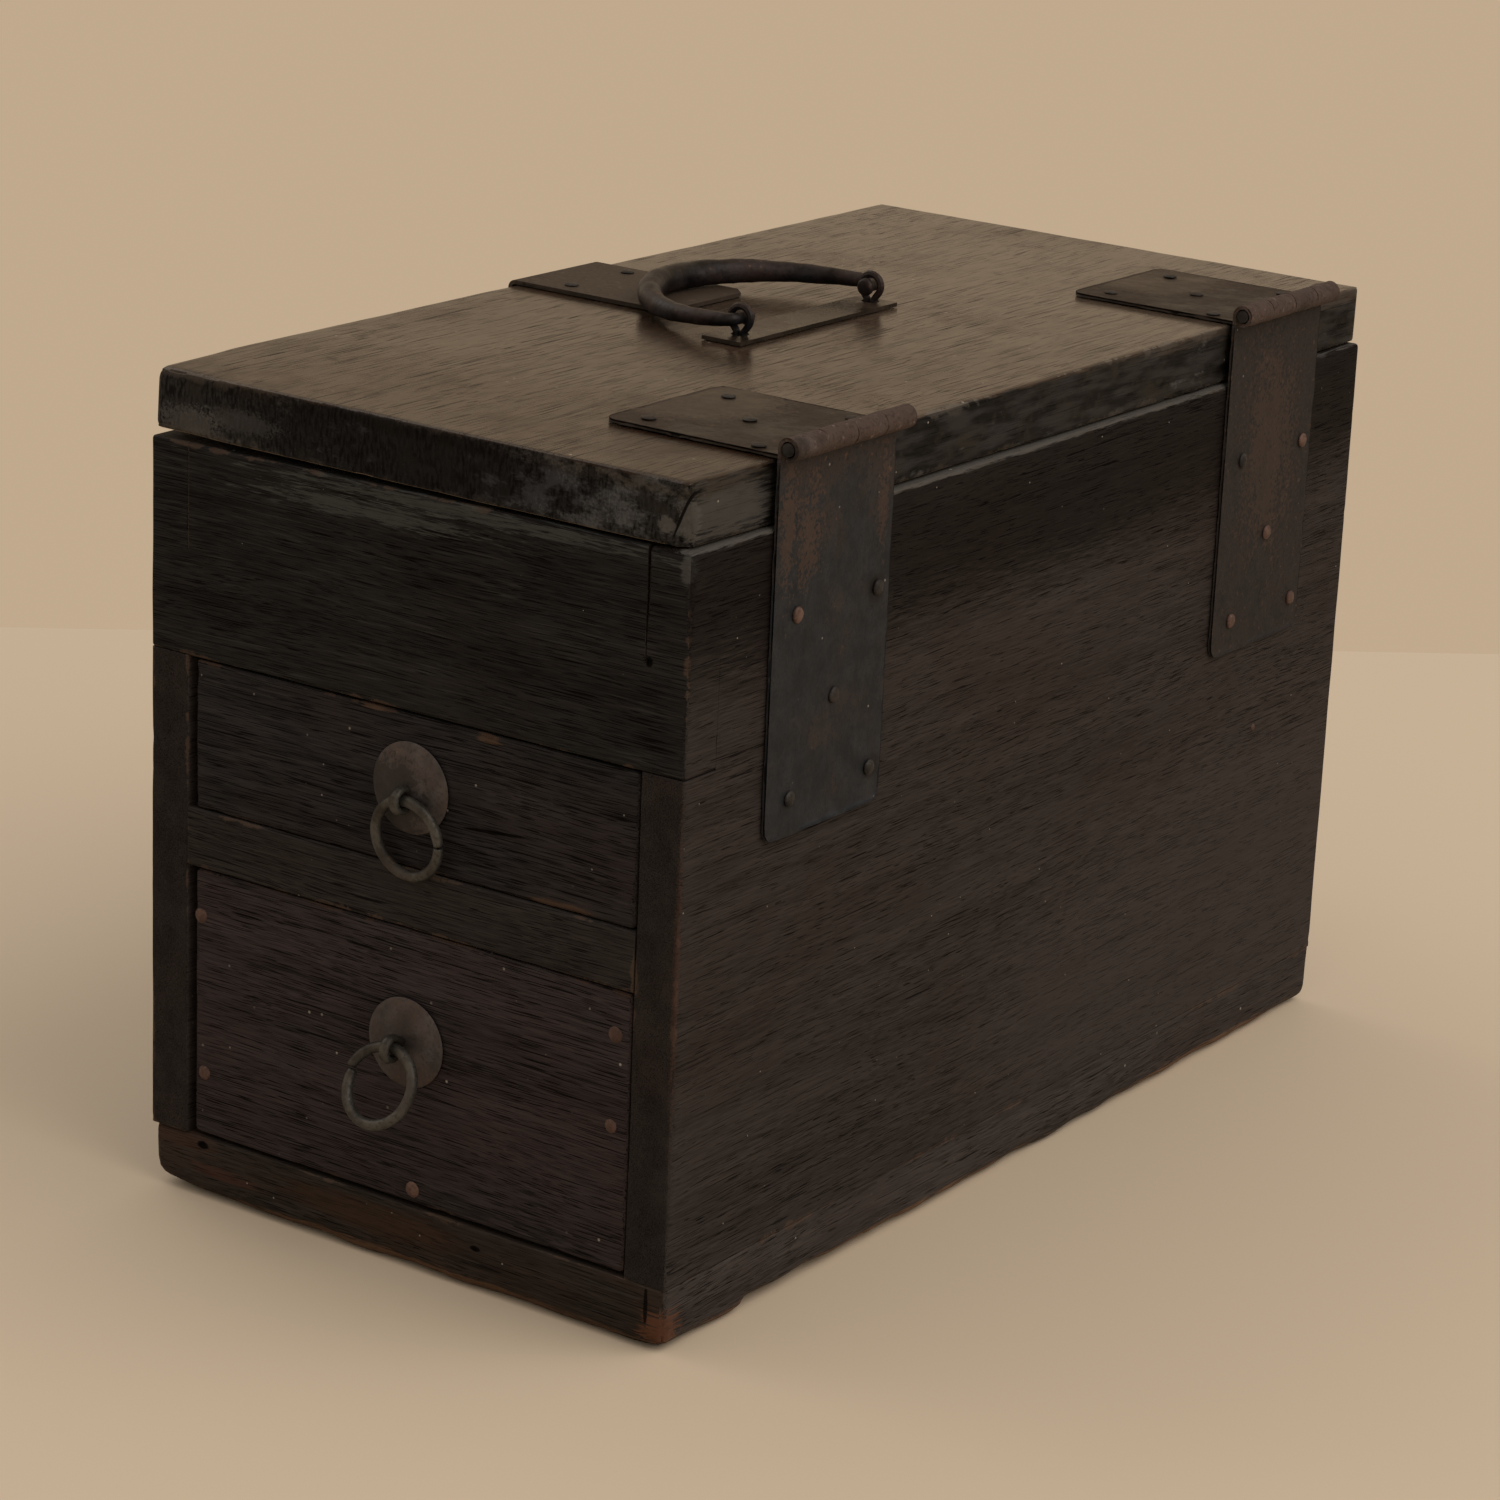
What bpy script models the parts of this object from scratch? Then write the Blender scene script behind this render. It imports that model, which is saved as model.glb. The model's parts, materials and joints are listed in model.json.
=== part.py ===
import math

import bmesh
import bpy
from mathutils import Matrix, Vector

# Clearances
GAP = 0.0003  # between pieces that touch
DRAWER_RUN = 0.0006  # between a drawer and its opening, on each side
EYE_PLAY = 0.0006  # round a wire that swings in an eye

# Carcass: boards standing on a full-size base
BODY_WIDTH = 0.180
BODY_LENGTH = 0.353
SIDE_HEIGHT = 0.1986
BOARD = 0.0135  # sides, front board and back board
EDGE = 0.0006  # eased edges of the boards
BASE_THICKNESS = 0.0182
BASE_INSET = 0.0004  # left end of the base stands in from the side
BASE_CORNER = 0.0028
BASE_ROUND = 0.006
FOOT_LENGTH = 0.036
FOOT_STEP = 0.0018
RELIEF_LENGTH = 0.110  # hollow behind the foot runs out to nothing
LOWER_OPENING = 0.0798
SHELF_THICKNESS = 0.0168  # board between the drawers
UPPER_OPENING = 0.0431
FLOOR_THICKNESS = 0.008
FLOOR_RISE = 0.0015  # floor of the top compartment above the upper opening
GROOVE_DEPTH = 0.004

# Lid: one plank, a little thinner towards its opening edge, standing slightly open
LID_THICKNESS = 0.017
LID_TAPER = 0.0006
LID_TILT = math.radians(0.5)
LID_SEAT = 0.0005  # above the sides, at the hinges
LID_LEFT_INSET = 0.0005
LID_RIGHT_INSET = 0.0015
LID_CORNER = 0.0028
LID_TOP_EDGE = 0.0022
LID_LOW_EDGE = 0.0010

# Strap hinges: leaf on the lid, strap down the right side, rolled round one pin
PLATE = 0.0012  # iron plate of leaves and straps
STRAP_WIDTH = 0.0535
STRAP_DROP = 0.0843  # below the top of the side
STRAP_CLIP = 0.005
BARREL_RADIUS = 0.0033
BARREL_OVERHANG = 0.0012  # barrel runs on behind the strap
LEAF_INSET = 0.002  # leaf starts behind the front of its barrel
LEAF_LENGTH = 0.060
LEAF_CLIP = 0.004
KNUCKLES = 4
ROLL_TURN = math.radians(292)
NOTCH = 0.0004  # round the other leaf's knuckles
FRONT_HINGE_INSET = 0.0345
REAR_HINGE_INSET = 0.031
STRAP_NAIL_FRONT = 0.0105
STRAP_NAIL_BACK = 0.0058
STRAP_NAIL_LOW = 0.0103  # above the strap's lower end
STRAP_NAIL_MIDDLE = 0.0345
STRAP_NAIL_HIGH = 0.0600
LEAF_NAIL_INNER = 0.050  # nail rows, from the pin
LEAF_NAIL_MIDDLE = 0.0305
LEAF_NAIL_OUTER = 0.0126
LEAF_NAIL_INNER_INSET = 0.0090
LEAF_NAIL_OUTER_INSET = 0.0054

# Nails
NAIL_HEAD_RADIUS = 0.0022
NAIL_HEAD_HEIGHT = 0.0009
NAIL_SHANK_RADIUS = 0.0009
NAIL_LENGTH = 0.009

# Hasp on the lid's left edge, hanging on the nose of its staple
HASP_LEAF_WIDTH = 0.0405
HASP_LEAF_LENGTH = 0.057
HASP_BEND = 0.0018
HASP_BARREL_DROP = 0.013  # pin below the lid's top
HASP_BARREL_RADIUS = 0.0026
HASP_PIN_RADIUS = 0.0011
HASP_WIDTH = 0.026
HASP_TAIL = 0.013  # below the staple
HASP_CLIP = 0.004
HASP_KNUCKLE = 0.010  # of the flap, between two of the leaf
STAPLE_DROP = 0.00065  # below the middle of the top compartment
STAPLE_EYE_RADIUS = 0.0033
SLOT_PLAY = 0.0024  # of the flap's slot over the staple
HASP_SWING = math.radians(17.5)
HASP_NAIL_OUTER = 0.0165  # from the lid's left edge
HASP_NAIL_INSET = 0.0065

# Handle in the middle of the lid
HANDLE_PLATE_WIDTH = 0.0134
HANDLE_PLATE_LENGTH = 0.080
HANDLE_EYE_SPACING = 0.0664
HANDLE_SHIFT = 0.0025  # towards the back
BAIL_REACH = 0.0475
BAIL_MIDDLE_RADIUS = 0.0040
BAIL_END_RADIUS = 0.0017
BAIL_BEND = 0.003
BAIL_STUB = 0.003  # past the eye
BAIL_ARCH = 0.0003

# Split-pin eyes of the handle, pulls and staple
EYE_WIRE = 0.0011
EYE_NECK = 0.0012  # from a plate to its loop
EYE_CLINCH = 0.0016
EYE_SPREAD = 0.007

# Drawers
DRAWER_SET_BACK = 0.0004
DRAWER_FRONT = 0.0125
DRAWER_SIDE = 0.007
DRAWER_BOTTOM = 0.008
DRAWER_END_PLAY = 0.004
DRAWER_SIDE_DROP = 0.003  # sides below the front's top edge
LOWER_FRONT_RAISE = 0.0012  # lower front's bottom edge above the base

# Ring pulls
PULL_SIDE = 0.002  # right of the middle
UPPER_PULL_RAISE = 0.0009  # above the middle of its drawer
LOWER_PULL_RAISE = 0.0075
PULL_PLATE_RADIUS = 0.0127
PULL_PLATE_RIM = 0.0006
PULL_PLATE_CROWN = 0.0022
RING_RADIUS = 0.0106
RING_WIRE = 0.0015
RING_PLAY = 0.0004
RING_OPENING = math.radians(4)
LOWER_RING_SPRING = 0.0006  # ends sprung apart
LOWER_RING_SWING = math.radians(28)
UPPER_RING_SWING = math.radians(-5)  # leans on the drawer
UPPER_RING_SKEW = math.radians(8)  # hangs to the right
UPPER_EYE_NECK = -0.0011  # loop sunk in the plate's hole
UPPER_EYE_DROP = 0.0025  # below the plate's middle

# Places that follow from the sizes
LEFT = -BODY_WIDTH / 2
RIGHT = BODY_WIDTH / 2
FRONT = -BODY_LENGTH / 2
BACK = BODY_LENGTH / 2
INNER = RIGHT - BOARD
SIDE_LOW = BASE_THICKNESS + GAP
SIDE_TOP = SIDE_LOW + SIDE_HEIGHT
SHELF_LOW = BASE_THICKNESS + LOWER_OPENING
SHELF_TOP = SHELF_LOW + SHELF_THICKNESS
FRONT_BOARD_LOW = SHELF_TOP + UPPER_OPENING
FRONT_BOARD_MIDDLE = (FRONT_BOARD_LOW + SIDE_TOP) / 2
FLOOR_LOW = FRONT_BOARD_LOW + FLOOR_RISE
FLOOR_TOP = FLOOR_LOW + FLOOR_THICKNESS
LID_LOW = SIDE_TOP + LID_SEAT
LID_TOP = LID_LOW + LID_THICKNESS
LID_LEFT = LEFT + LID_LEFT_INSET
LID_RIGHT = RIGHT - LID_RIGHT_INSET
HINGE_X = RIGHT + GAP + BARREL_RADIUS
HINGE_Z = LID_TOP + GAP + BARREL_RADIUS
STRAP_LOW = SIDE_TOP - STRAP_DROP
PIN_RADIUS = BARREL_RADIUS - PLATE - GAP
LEG_OFFSET = EYE_WIRE + GAP / 2
LEG_HOLE = LEG_OFFSET + EYE_WIRE + GAP
PLATE_TOP = LID_TOP + GAP + PLATE
HASP_X = LEFT - GAP - HASP_BARREL_RADIUS
HASP_Z = LID_TOP - HASP_BARREL_DROP
STAPLE_Z = (FLOOR_TOP + SIDE_TOP) / 2 - STAPLE_DROP
HANDLE_EYE_RADIUS = BAIL_END_RADIUS + EYE_PLAY + EYE_WIRE
HANDLE_Z = PLATE_TOP + EYE_NECK + HANDLE_EYE_RADIUS
PULL_EYE_RADIUS = RING_WIRE + RING_PLAY + EYE_WIRE
PULL_HOLE = PULL_EYE_RADIUS * math.sqrt(0.5) + EYE_WIRE + GAP

X_AXIS = Vector((1, 0, 0))
Y_AXIS = Vector((0, 1, 0))
Z_AXIS = Vector((0, 0, 1))

# The plane of an outline, as a turn from its own XY plane
IN_XZ = Matrix.Rotation(math.pi / 2, 4, "X")
IN_YZ = Matrix(((0, 0, 1, 0), (1, 0, 0, 0), (0, 1, 0, 0), (0, 0, 0, 1)))


def clear_scene():
    for obj in list(bpy.data.objects):
        bpy.data.objects.remove(obj, do_unlink=True)


def new_collection(name):
    collection = bpy.data.collections.new(name)
    bpy.context.scene.collection.children.link(collection)
    return collection


def make_material(name, color, roughness, metallic=0.0):
    material = bpy.data.materials.new(name)
    material.use_nodes = True
    shader = material.node_tree.nodes["Principled BSDF"]
    shader.inputs["Base Color"].default_value = (*color, 1.0)
    shader.inputs["Roughness"].default_value = roughness
    shader.inputs["Metallic"].default_value = metallic
    return material


clear_scene()
PARTS = new_collection("calligraphy_box")
CUTTERS = new_collection("cutters")
CASE_WOOD = make_material("case_wood", (0.030, 0.022, 0.018), 0.55)
LID_WOOD = make_material("lid_wood", (0.110, 0.075, 0.048), 0.42)
INNER_WOOD = make_material("inner_wood", (0.200, 0.130, 0.075), 0.75)
DARK_IRON = make_material("dark_iron", (0.045, 0.043, 0.045), 0.60, 0.6)
RUSTY_IRON = make_material("rusty_iron", (0.085, 0.055, 0.045), 0.70, 0.5)
RING_IRON = make_material("ring_iron", (0.110, 0.100, 0.090), 0.50, 0.7)
COPPER = make_material("copper", (0.260, 0.130, 0.090), 0.55, 0.5)


# Empties carry the pieces that move together; "place" is where one stands on the closed box
def make_pivot(name, place, parent=None, turn=(0.0, 0.0, 0.0)):
    empty = bpy.data.objects.new(name, None)
    empty.empty_display_size = 0.01
    empty["place"] = tuple(place)
    PARTS.objects.link(empty)
    if parent:
        empty.parent = parent
        empty.location = Vector(place) - Vector(parent["place"])
    empty.rotation_euler = turn
    return empty


# A mesh drawn where it stands on the closed box becomes an object with its origin on its carrier
def add_object(name, mesh, carrier, collection):
    mesh.transform(Matrix.Translation(-Vector(carrier["place"])))
    obj = bpy.data.objects.new(name, mesh)
    collection.objects.link(obj)
    obj.parent = carrier
    return obj


def add_part(name, mesh, carrier, material, smooth=False):
    mesh.materials.append(material)
    if smooth:
        mesh.shade_smooth()
        mesh.set_sharp_from_angle(angle=math.radians(40))
    return add_object(name, mesh, carrier, PARTS)


def cut(part, mesh, carrier):
    cutter = add_object(part.name + "_cutter", mesh, carrier, CUTTERS)
    cutter.hide_render = True
    cutter.display_type = "WIRE"
    modifier = part.modifiers.new("cut", "BOOLEAN")
    modifier.operation = "DIFFERENCE"
    modifier.solver = "EXACT"
    modifier.object = cutter


def ease_edges(part, width, segments=2):
    modifier = part.modifiers.new("eased edges", "BEVEL")
    modifier.width = width
    modifier.segments = segments
    modifier.limit_method = "ANGLE"
    modifier.angle_limit = math.radians(40)


def to_mesh(bm, name):
    bmesh.ops.recalc_face_normals(bm, faces=bm.faces[:])
    mesh = bpy.data.meshes.new(name)
    bm.to_mesh(mesh)
    bm.free()
    return mesh


def put_box(bm, low, high):
    low = Vector(low)
    high = Vector(high)
    matrix = Matrix.Translation((low + high) / 2) @ Matrix.Diagonal((*(high - low), 1.0))
    return bmesh.ops.create_cube(bm, size=1.0, matrix=matrix)["verts"]


def box_mesh(name, low, high):
    bm = bmesh.new()
    put_box(bm, low, high)
    return to_mesh(bm, name)


def round_uprights(bm, width):
    edges = [edge for edge in bm.edges if (edge.verts[0].co - edge.verts[1].co).xy.length < GAP]
    bmesh.ops.bevel(bm, geom=edges, offset=width, segments=4, profile=0.5, affect="EDGES")


# Rounds the edges of a lying board's upper or lower face, which lies between two heights
def round_rim(bm, low, high, width):
    edges = [edge for edge in bm.edges if all(low - GAP < vert.co.z < high + GAP for vert in edge.verts)]
    bmesh.ops.bevel(bm, geom=edges, offset=width, segments=4, profile=0.5, affect="EDGES")


# Turns +Z to point along a direction, standing at a place
def facing(place, direction):
    return Matrix.Translation(place) @ Vector(direction).to_track_quat("Z", "Y").to_matrix().to_4x4()


def put_cylinder(bm, start, end, radius, sides=16):
    start = Vector(start)
    end = Vector(end)
    matrix = facing((start + end) / 2, end - start)
    length = (end - start).length
    bmesh.ops.create_cone(
        bm, cap_ends=True, segments=sides, radius1=radius, radius2=radius, depth=length, matrix=matrix
    )


def put_hole(bm, place, outward, depth, radius, proud=0.002, sides=12):
    place = Vector(place)
    outward = Vector(outward)
    put_cylinder(bm, place + outward * proud, place - outward * depth, radius, sides)


# A profile of (radius, height) points turned about its own Z axis
def put_turned(bm, profile, matrix, steps, closed=False):
    verts = [bm.verts.new(matrix @ Vector((radius, 0.0, height))) for radius, height in profile]
    pairs = list(zip(verts, verts[1:]))
    if closed:
        pairs.append((verts[-1], verts[0]))
    edges = [bm.edges.new(pair) for pair in pairs]
    axis = matrix.to_3x3() @ Z_AXIS
    bmesh.ops.spin(
        bm,
        geom=verts + edges,
        cent=matrix.translation,
        axis=axis,
        angle=2 * math.pi,
        steps=steps,
        use_merge=True,
    )
    bmesh.ops.remove_doubles(bm, verts=bm.verts[:], dist=1e-6)


def mesh_from_curve(name, curve):
    obj = bpy.data.objects.new(name, curve)
    PARTS.objects.link(obj)
    graph = bpy.context.evaluated_depsgraph_get()
    mesh = bpy.data.meshes.new_from_object(obj.evaluated_get(graph))
    bpy.data.objects.remove(obj, do_unlink=True)
    bpy.data.curves.remove(curve)
    return mesh


def clean_mesh(mesh, flatten):
    bm = bmesh.new()
    bm.from_mesh(mesh)
    bmesh.ops.remove_doubles(bm, verts=bm.verts[:], dist=1e-6)
    if flatten:
        bmesh.ops.dissolve_limit(bm, angle_limit=math.radians(1), verts=bm.verts[:], edges=bm.edges[:])
    bmesh.ops.recalc_face_normals(bm, faces=bm.faces[:])
    bm.to_mesh(mesh)
    bm.free()


# A flat outline made solid between two places along the axis square to its plane
def outline_mesh(name, points, low, high, plane):
    curve = bpy.data.curves.new(name, "CURVE")
    curve.dimensions = "2D"
    curve.fill_mode = "BOTH"
    curve.extrude = (high - low) / 2
    spline = curve.splines.new("POLY")
    spline.points.add(len(points) - 1)
    for point, (across, up) in zip(spline.points, points):
        point.co = (across, up, 0.0, 1.0)
    spline.use_cyclic_u = True
    mesh = mesh_from_curve(name, curve)
    clean_mesh(mesh, flatten=True)
    mesh.transform(plane)
    square = plane.to_3x3() @ Z_AXIS
    middle = (low + high) / 2 * sum(square)
    mesh.transform(Matrix.Translation(square * middle))
    return mesh


def tube_mesh(name, points, radius, shares=None, resolution=2):
    curve = bpy.data.curves.new(name, "CURVE")
    curve.dimensions = "3D"
    curve.fill_mode = "FULL"
    curve.bevel_depth = radius
    curve.bevel_resolution = resolution
    curve.use_fill_caps = True
    spline = curve.splines.new("POLY")
    spline.points.add(len(points) - 1)
    for index, place in enumerate(points):
        spline.points[index].co = (*place, 1.0)
        spline.points[index].radius = shares[index] if shares else 1.0
    mesh = mesh_from_curve(name, curve)
    clean_mesh(mesh, flatten=False)
    return mesh


# Outline of a bent plate: its middle line runs from a start, straight or round arcs that turn left
def strip_outline(start, heading, moves, thickness):
    place = Vector(start)
    middle = [(place.copy(), heading)]
    for length, turn in moves:
        if turn == 0.0:
            place = place + Vector((math.cos(heading), math.sin(heading))) * length
            middle.append((place.copy(), heading))
            continue
        side = math.copysign(math.pi / 2, turn)
        centre = place + Vector((math.cos(heading + side), math.sin(heading + side))) * length
        steps = math.ceil(abs(turn) / math.radians(18))
        for _ in range(steps):
            heading += turn / steps
            out = heading - side
            place = centre + Vector((math.cos(out), math.sin(out))) * length
            middle.append((place.copy(), heading))
    left_face = []
    right_face = []
    for place, heading in middle:
        out = Vector((-math.sin(heading), math.cos(heading))) * thickness / 2
        left_face.append(tuple(place + out))
        right_face.append(tuple(place - out))
    return left_face + right_face[::-1]


# Nails alike share one mesh: a domed head on a pointed shank, its seat on the nail's origin
def nail_mesh(name):
    profile = (
        (0.0, -NAIL_LENGTH),
        (NAIL_SHANK_RADIUS, NAIL_SHANK_RADIUS * 2 - NAIL_LENGTH),
        (NAIL_SHANK_RADIUS, 0.0),
        (NAIL_HEAD_RADIUS, 0.0),
        (NAIL_HEAD_RADIUS * 0.92, NAIL_HEAD_HEIGHT * 0.55),
        (NAIL_HEAD_RADIUS * 0.5, NAIL_HEAD_HEIGHT * 0.92),
        (0.0, NAIL_HEAD_HEIGHT),
    )
    bm = bmesh.new()
    put_turned(bm, profile, Matrix.Identity(4), steps=10)
    return to_mesh(bm, name)


def add_nails(prefix, places, outward, carrier, material):
    mesh = nail_mesh(prefix)
    mesh.materials.append(material)
    mesh.shade_smooth()
    mesh.set_sharp_from_angle(angle=math.radians(40))
    for index, place in enumerate(places, 1):
        nail = bpy.data.objects.new(f"{prefix}_{index}", mesh)
        PARTS.objects.link(nail)
        nail.parent = carrier
        nail.location = Vector(place) + outward * GAP - Vector(carrier["place"])
        nail.rotation_euler = outward.to_track_quat("Z", "Y").to_euler()


def nail_holes(bm, places, outward, depth):
    for place in places:
        put_hole(bm, place, outward, depth, NAIL_SHANK_RADIUS + GAP)


# A split pin: a round loop outside, two legs through the board, clinched apart inside
def eye_points(place, outward, split, loop_radius, thickness, neck=EYE_NECK):
    place = Vector(place)
    outward = Vector(outward)
    split = Vector(split)
    centre = neck + loop_radius
    leg = [(EYE_SPREAD, -thickness - EYE_CLINCH)]
    for step in range(5):
        turn = math.pi / 2 * step / 4
        across = LEG_OFFSET + EYE_CLINCH - EYE_CLINCH * math.sin(turn)
        leg.append((across, -thickness - EYE_CLINCH * math.cos(turn)))
    leg.append((LEG_OFFSET, centre - loop_radius * 1.15))
    loop = []
    for step in range(17):
        angle = math.radians(-45 + 270 * step / 16)
        loop.append((loop_radius * math.cos(angle), centre + loop_radius * math.sin(angle)))
    path = leg + loop + [(-across, up) for across, up in reversed(leg)]
    return [place + split * across + outward * up for across, up in path]


def build_carcass(root):
    base = bmesh.new()
    put_box(base, (LEFT + BASE_INSET, FRONT, 0.0), (RIGHT, BACK, BASE_THICKNESS))
    round_rim(base, 0.0, 0.0, BASE_ROUND)
    round_uprights(base, BASE_CORNER)
    board = add_part("base_board", to_mesh(base, "base_board"), root, CASE_WOOD)
    foot_back = FRONT + FOOT_LENGTH
    hollow = (
        (foot_back, -BASE_THICKNESS),
        (foot_back + RELIEF_LENGTH, -BASE_THICKNESS),
        (foot_back + RELIEF_LENGTH, -GAP),
        (foot_back + FOOT_STEP, FOOT_STEP),
        (foot_back, 0.0),
    )
    relief = outline_mesh("base_relief", hollow, LEFT - BOARD, RIGHT + BOARD, IN_YZ)
    cut(board, relief, root)

    # Each side steps back for the front board's lower finger
    finger_back = FRONT + BOARD + GAP
    side = (
        (FRONT, SIDE_LOW),
        (BACK, SIDE_LOW),
        (BACK, SIDE_TOP),
        (FRONT, SIDE_TOP),
        (FRONT, FRONT_BOARD_MIDDLE + GAP),
        (finger_back, FRONT_BOARD_MIDDLE + GAP),
        (finger_back, FRONT_BOARD_LOW - GAP),
        (FRONT, FRONT_BOARD_LOW - GAP),
    )
    floor_front = FRONT + BOARD + GAP
    floor_back = BACK - BOARD - GAP
    for name, outward, low in (("left_side_board", -1, LEFT), ("right_side_board", 1, INNER)):
        mesh = outline_mesh(name, side, low, low + BOARD, IN_YZ)
        board = add_part(name, mesh, root, CASE_WOOD)
        ease_edges(board, EDGE)
        holes = bmesh.new()
        groove = (outward * (INNER - BOARD), outward * (INNER + GROOVE_DEPTH))
        put_box(
            holes,
            (min(groove), floor_front - GAP, FLOOR_LOW - GAP),
            (max(groove), floor_back + GAP, FLOOR_TOP + GAP),
        )
        if outward > 0:
            for strap_front in strap_fronts():
                nail_holes(holes, strap_nail_places(strap_front), X_AXIS, NAIL_LENGTH + PLATE)
        else:
            put_hole(holes, staple_place(), -X_AXIS, BOARD * 2, LEG_HOLE, sides=16)
        cut(board, to_mesh(holes, name + "_holes"), root)

    # Front board: its upper part stands between the sides, its lower part runs through
    between = INNER - GAP
    front = (
        (LEFT, FRONT_BOARD_LOW),
        (RIGHT, FRONT_BOARD_LOW),
        (RIGHT, FRONT_BOARD_MIDDLE),
        (between, FRONT_BOARD_MIDDLE),
        (between, SIDE_TOP),
        (-between, SIDE_TOP),
        (-between, FRONT_BOARD_MIDDLE),
        (LEFT, FRONT_BOARD_MIDDLE),
    )
    mesh = outline_mesh("front_board", front, FRONT, FRONT + BOARD, IN_XZ)
    ease_edges(add_part("front_board", mesh, root, CASE_WOOD), EDGE)

    mesh = box_mesh("back_board", (-between, BACK - BOARD, SIDE_LOW), (between, BACK, SIDE_TOP))
    ease_edges(add_part("back_board", mesh, root, CASE_WOOD), EDGE)
    mesh = box_mesh("drawer_shelf", (-between, FRONT, SHELF_LOW), (between, floor_back, SHELF_TOP))
    ease_edges(add_part("drawer_shelf", mesh, root, CASE_WOOD), EDGE)

    tongue = INNER + GROOVE_DEPTH - GAP
    low = (-tongue, floor_front, FLOOR_LOW)
    mesh = box_mesh("compartment_floor", low, (tongue, floor_back, FLOOR_TOP))
    add_part("compartment_floor", mesh, root, INNER_WOOD)

    points = eye_points(staple_place(), -X_AXIS, Z_AXIS, STAPLE_EYE_RADIUS, BOARD)
    add_part("hasp_staple", tube_mesh("hasp_staple", points, EYE_WIRE), root, DARK_IRON, smooth=True)


def staple_place():
    return Vector((LEFT, 0.0, STAPLE_Z))


def strap_fronts():
    return (FRONT + FRONT_HINGE_INSET, BACK - REAR_HINGE_INSET - STRAP_WIDTH)


def strap_nail_places(strap_front):
    face = RIGHT + GAP + PLATE
    near = strap_front + STRAP_NAIL_FRONT
    far = strap_front + STRAP_WIDTH - STRAP_NAIL_BACK
    low = STRAP_LOW + STRAP_NAIL_LOW
    high = STRAP_LOW + STRAP_NAIL_HIGH
    middle = (face, (near + far) / 2, STRAP_LOW + STRAP_NAIL_MIDDLE)
    return [(face, near, low), (face, far, low), middle, (face, near, high), (face, far, high)]


def leaf_nail_places(strap_front):
    strap_back = strap_front + STRAP_WIDTH
    places = [(HINGE_X - LEAF_NAIL_MIDDLE, (strap_front + strap_back) / 2, PLATE_TOP)]
    rows = ((LEAF_NAIL_INNER, LEAF_NAIL_INNER_INSET), (LEAF_NAIL_OUTER, LEAF_NAIL_OUTER_INSET))
    for distance, inset in rows:
        for along in (strap_front + inset, strap_back - inset):
            places.append((HINGE_X - distance, along, PLATE_TOP))
    return places


# Corner cutters: square prisms turned 45 degrees, which clip a plate's corners
def put_clip(bm, corner, square, clip, reach):
    size = clip * math.sqrt(2)
    matrix = Matrix.Translation(corner) @ Matrix.Rotation(math.pi / 4, 4, square)
    scale = [size, size, size]
    scale["XYZ".index(square)] = reach
    bmesh.ops.create_cube(bm, size=1.0, matrix=matrix @ Matrix.Diagonal((*scale, 1.0)))


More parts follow.
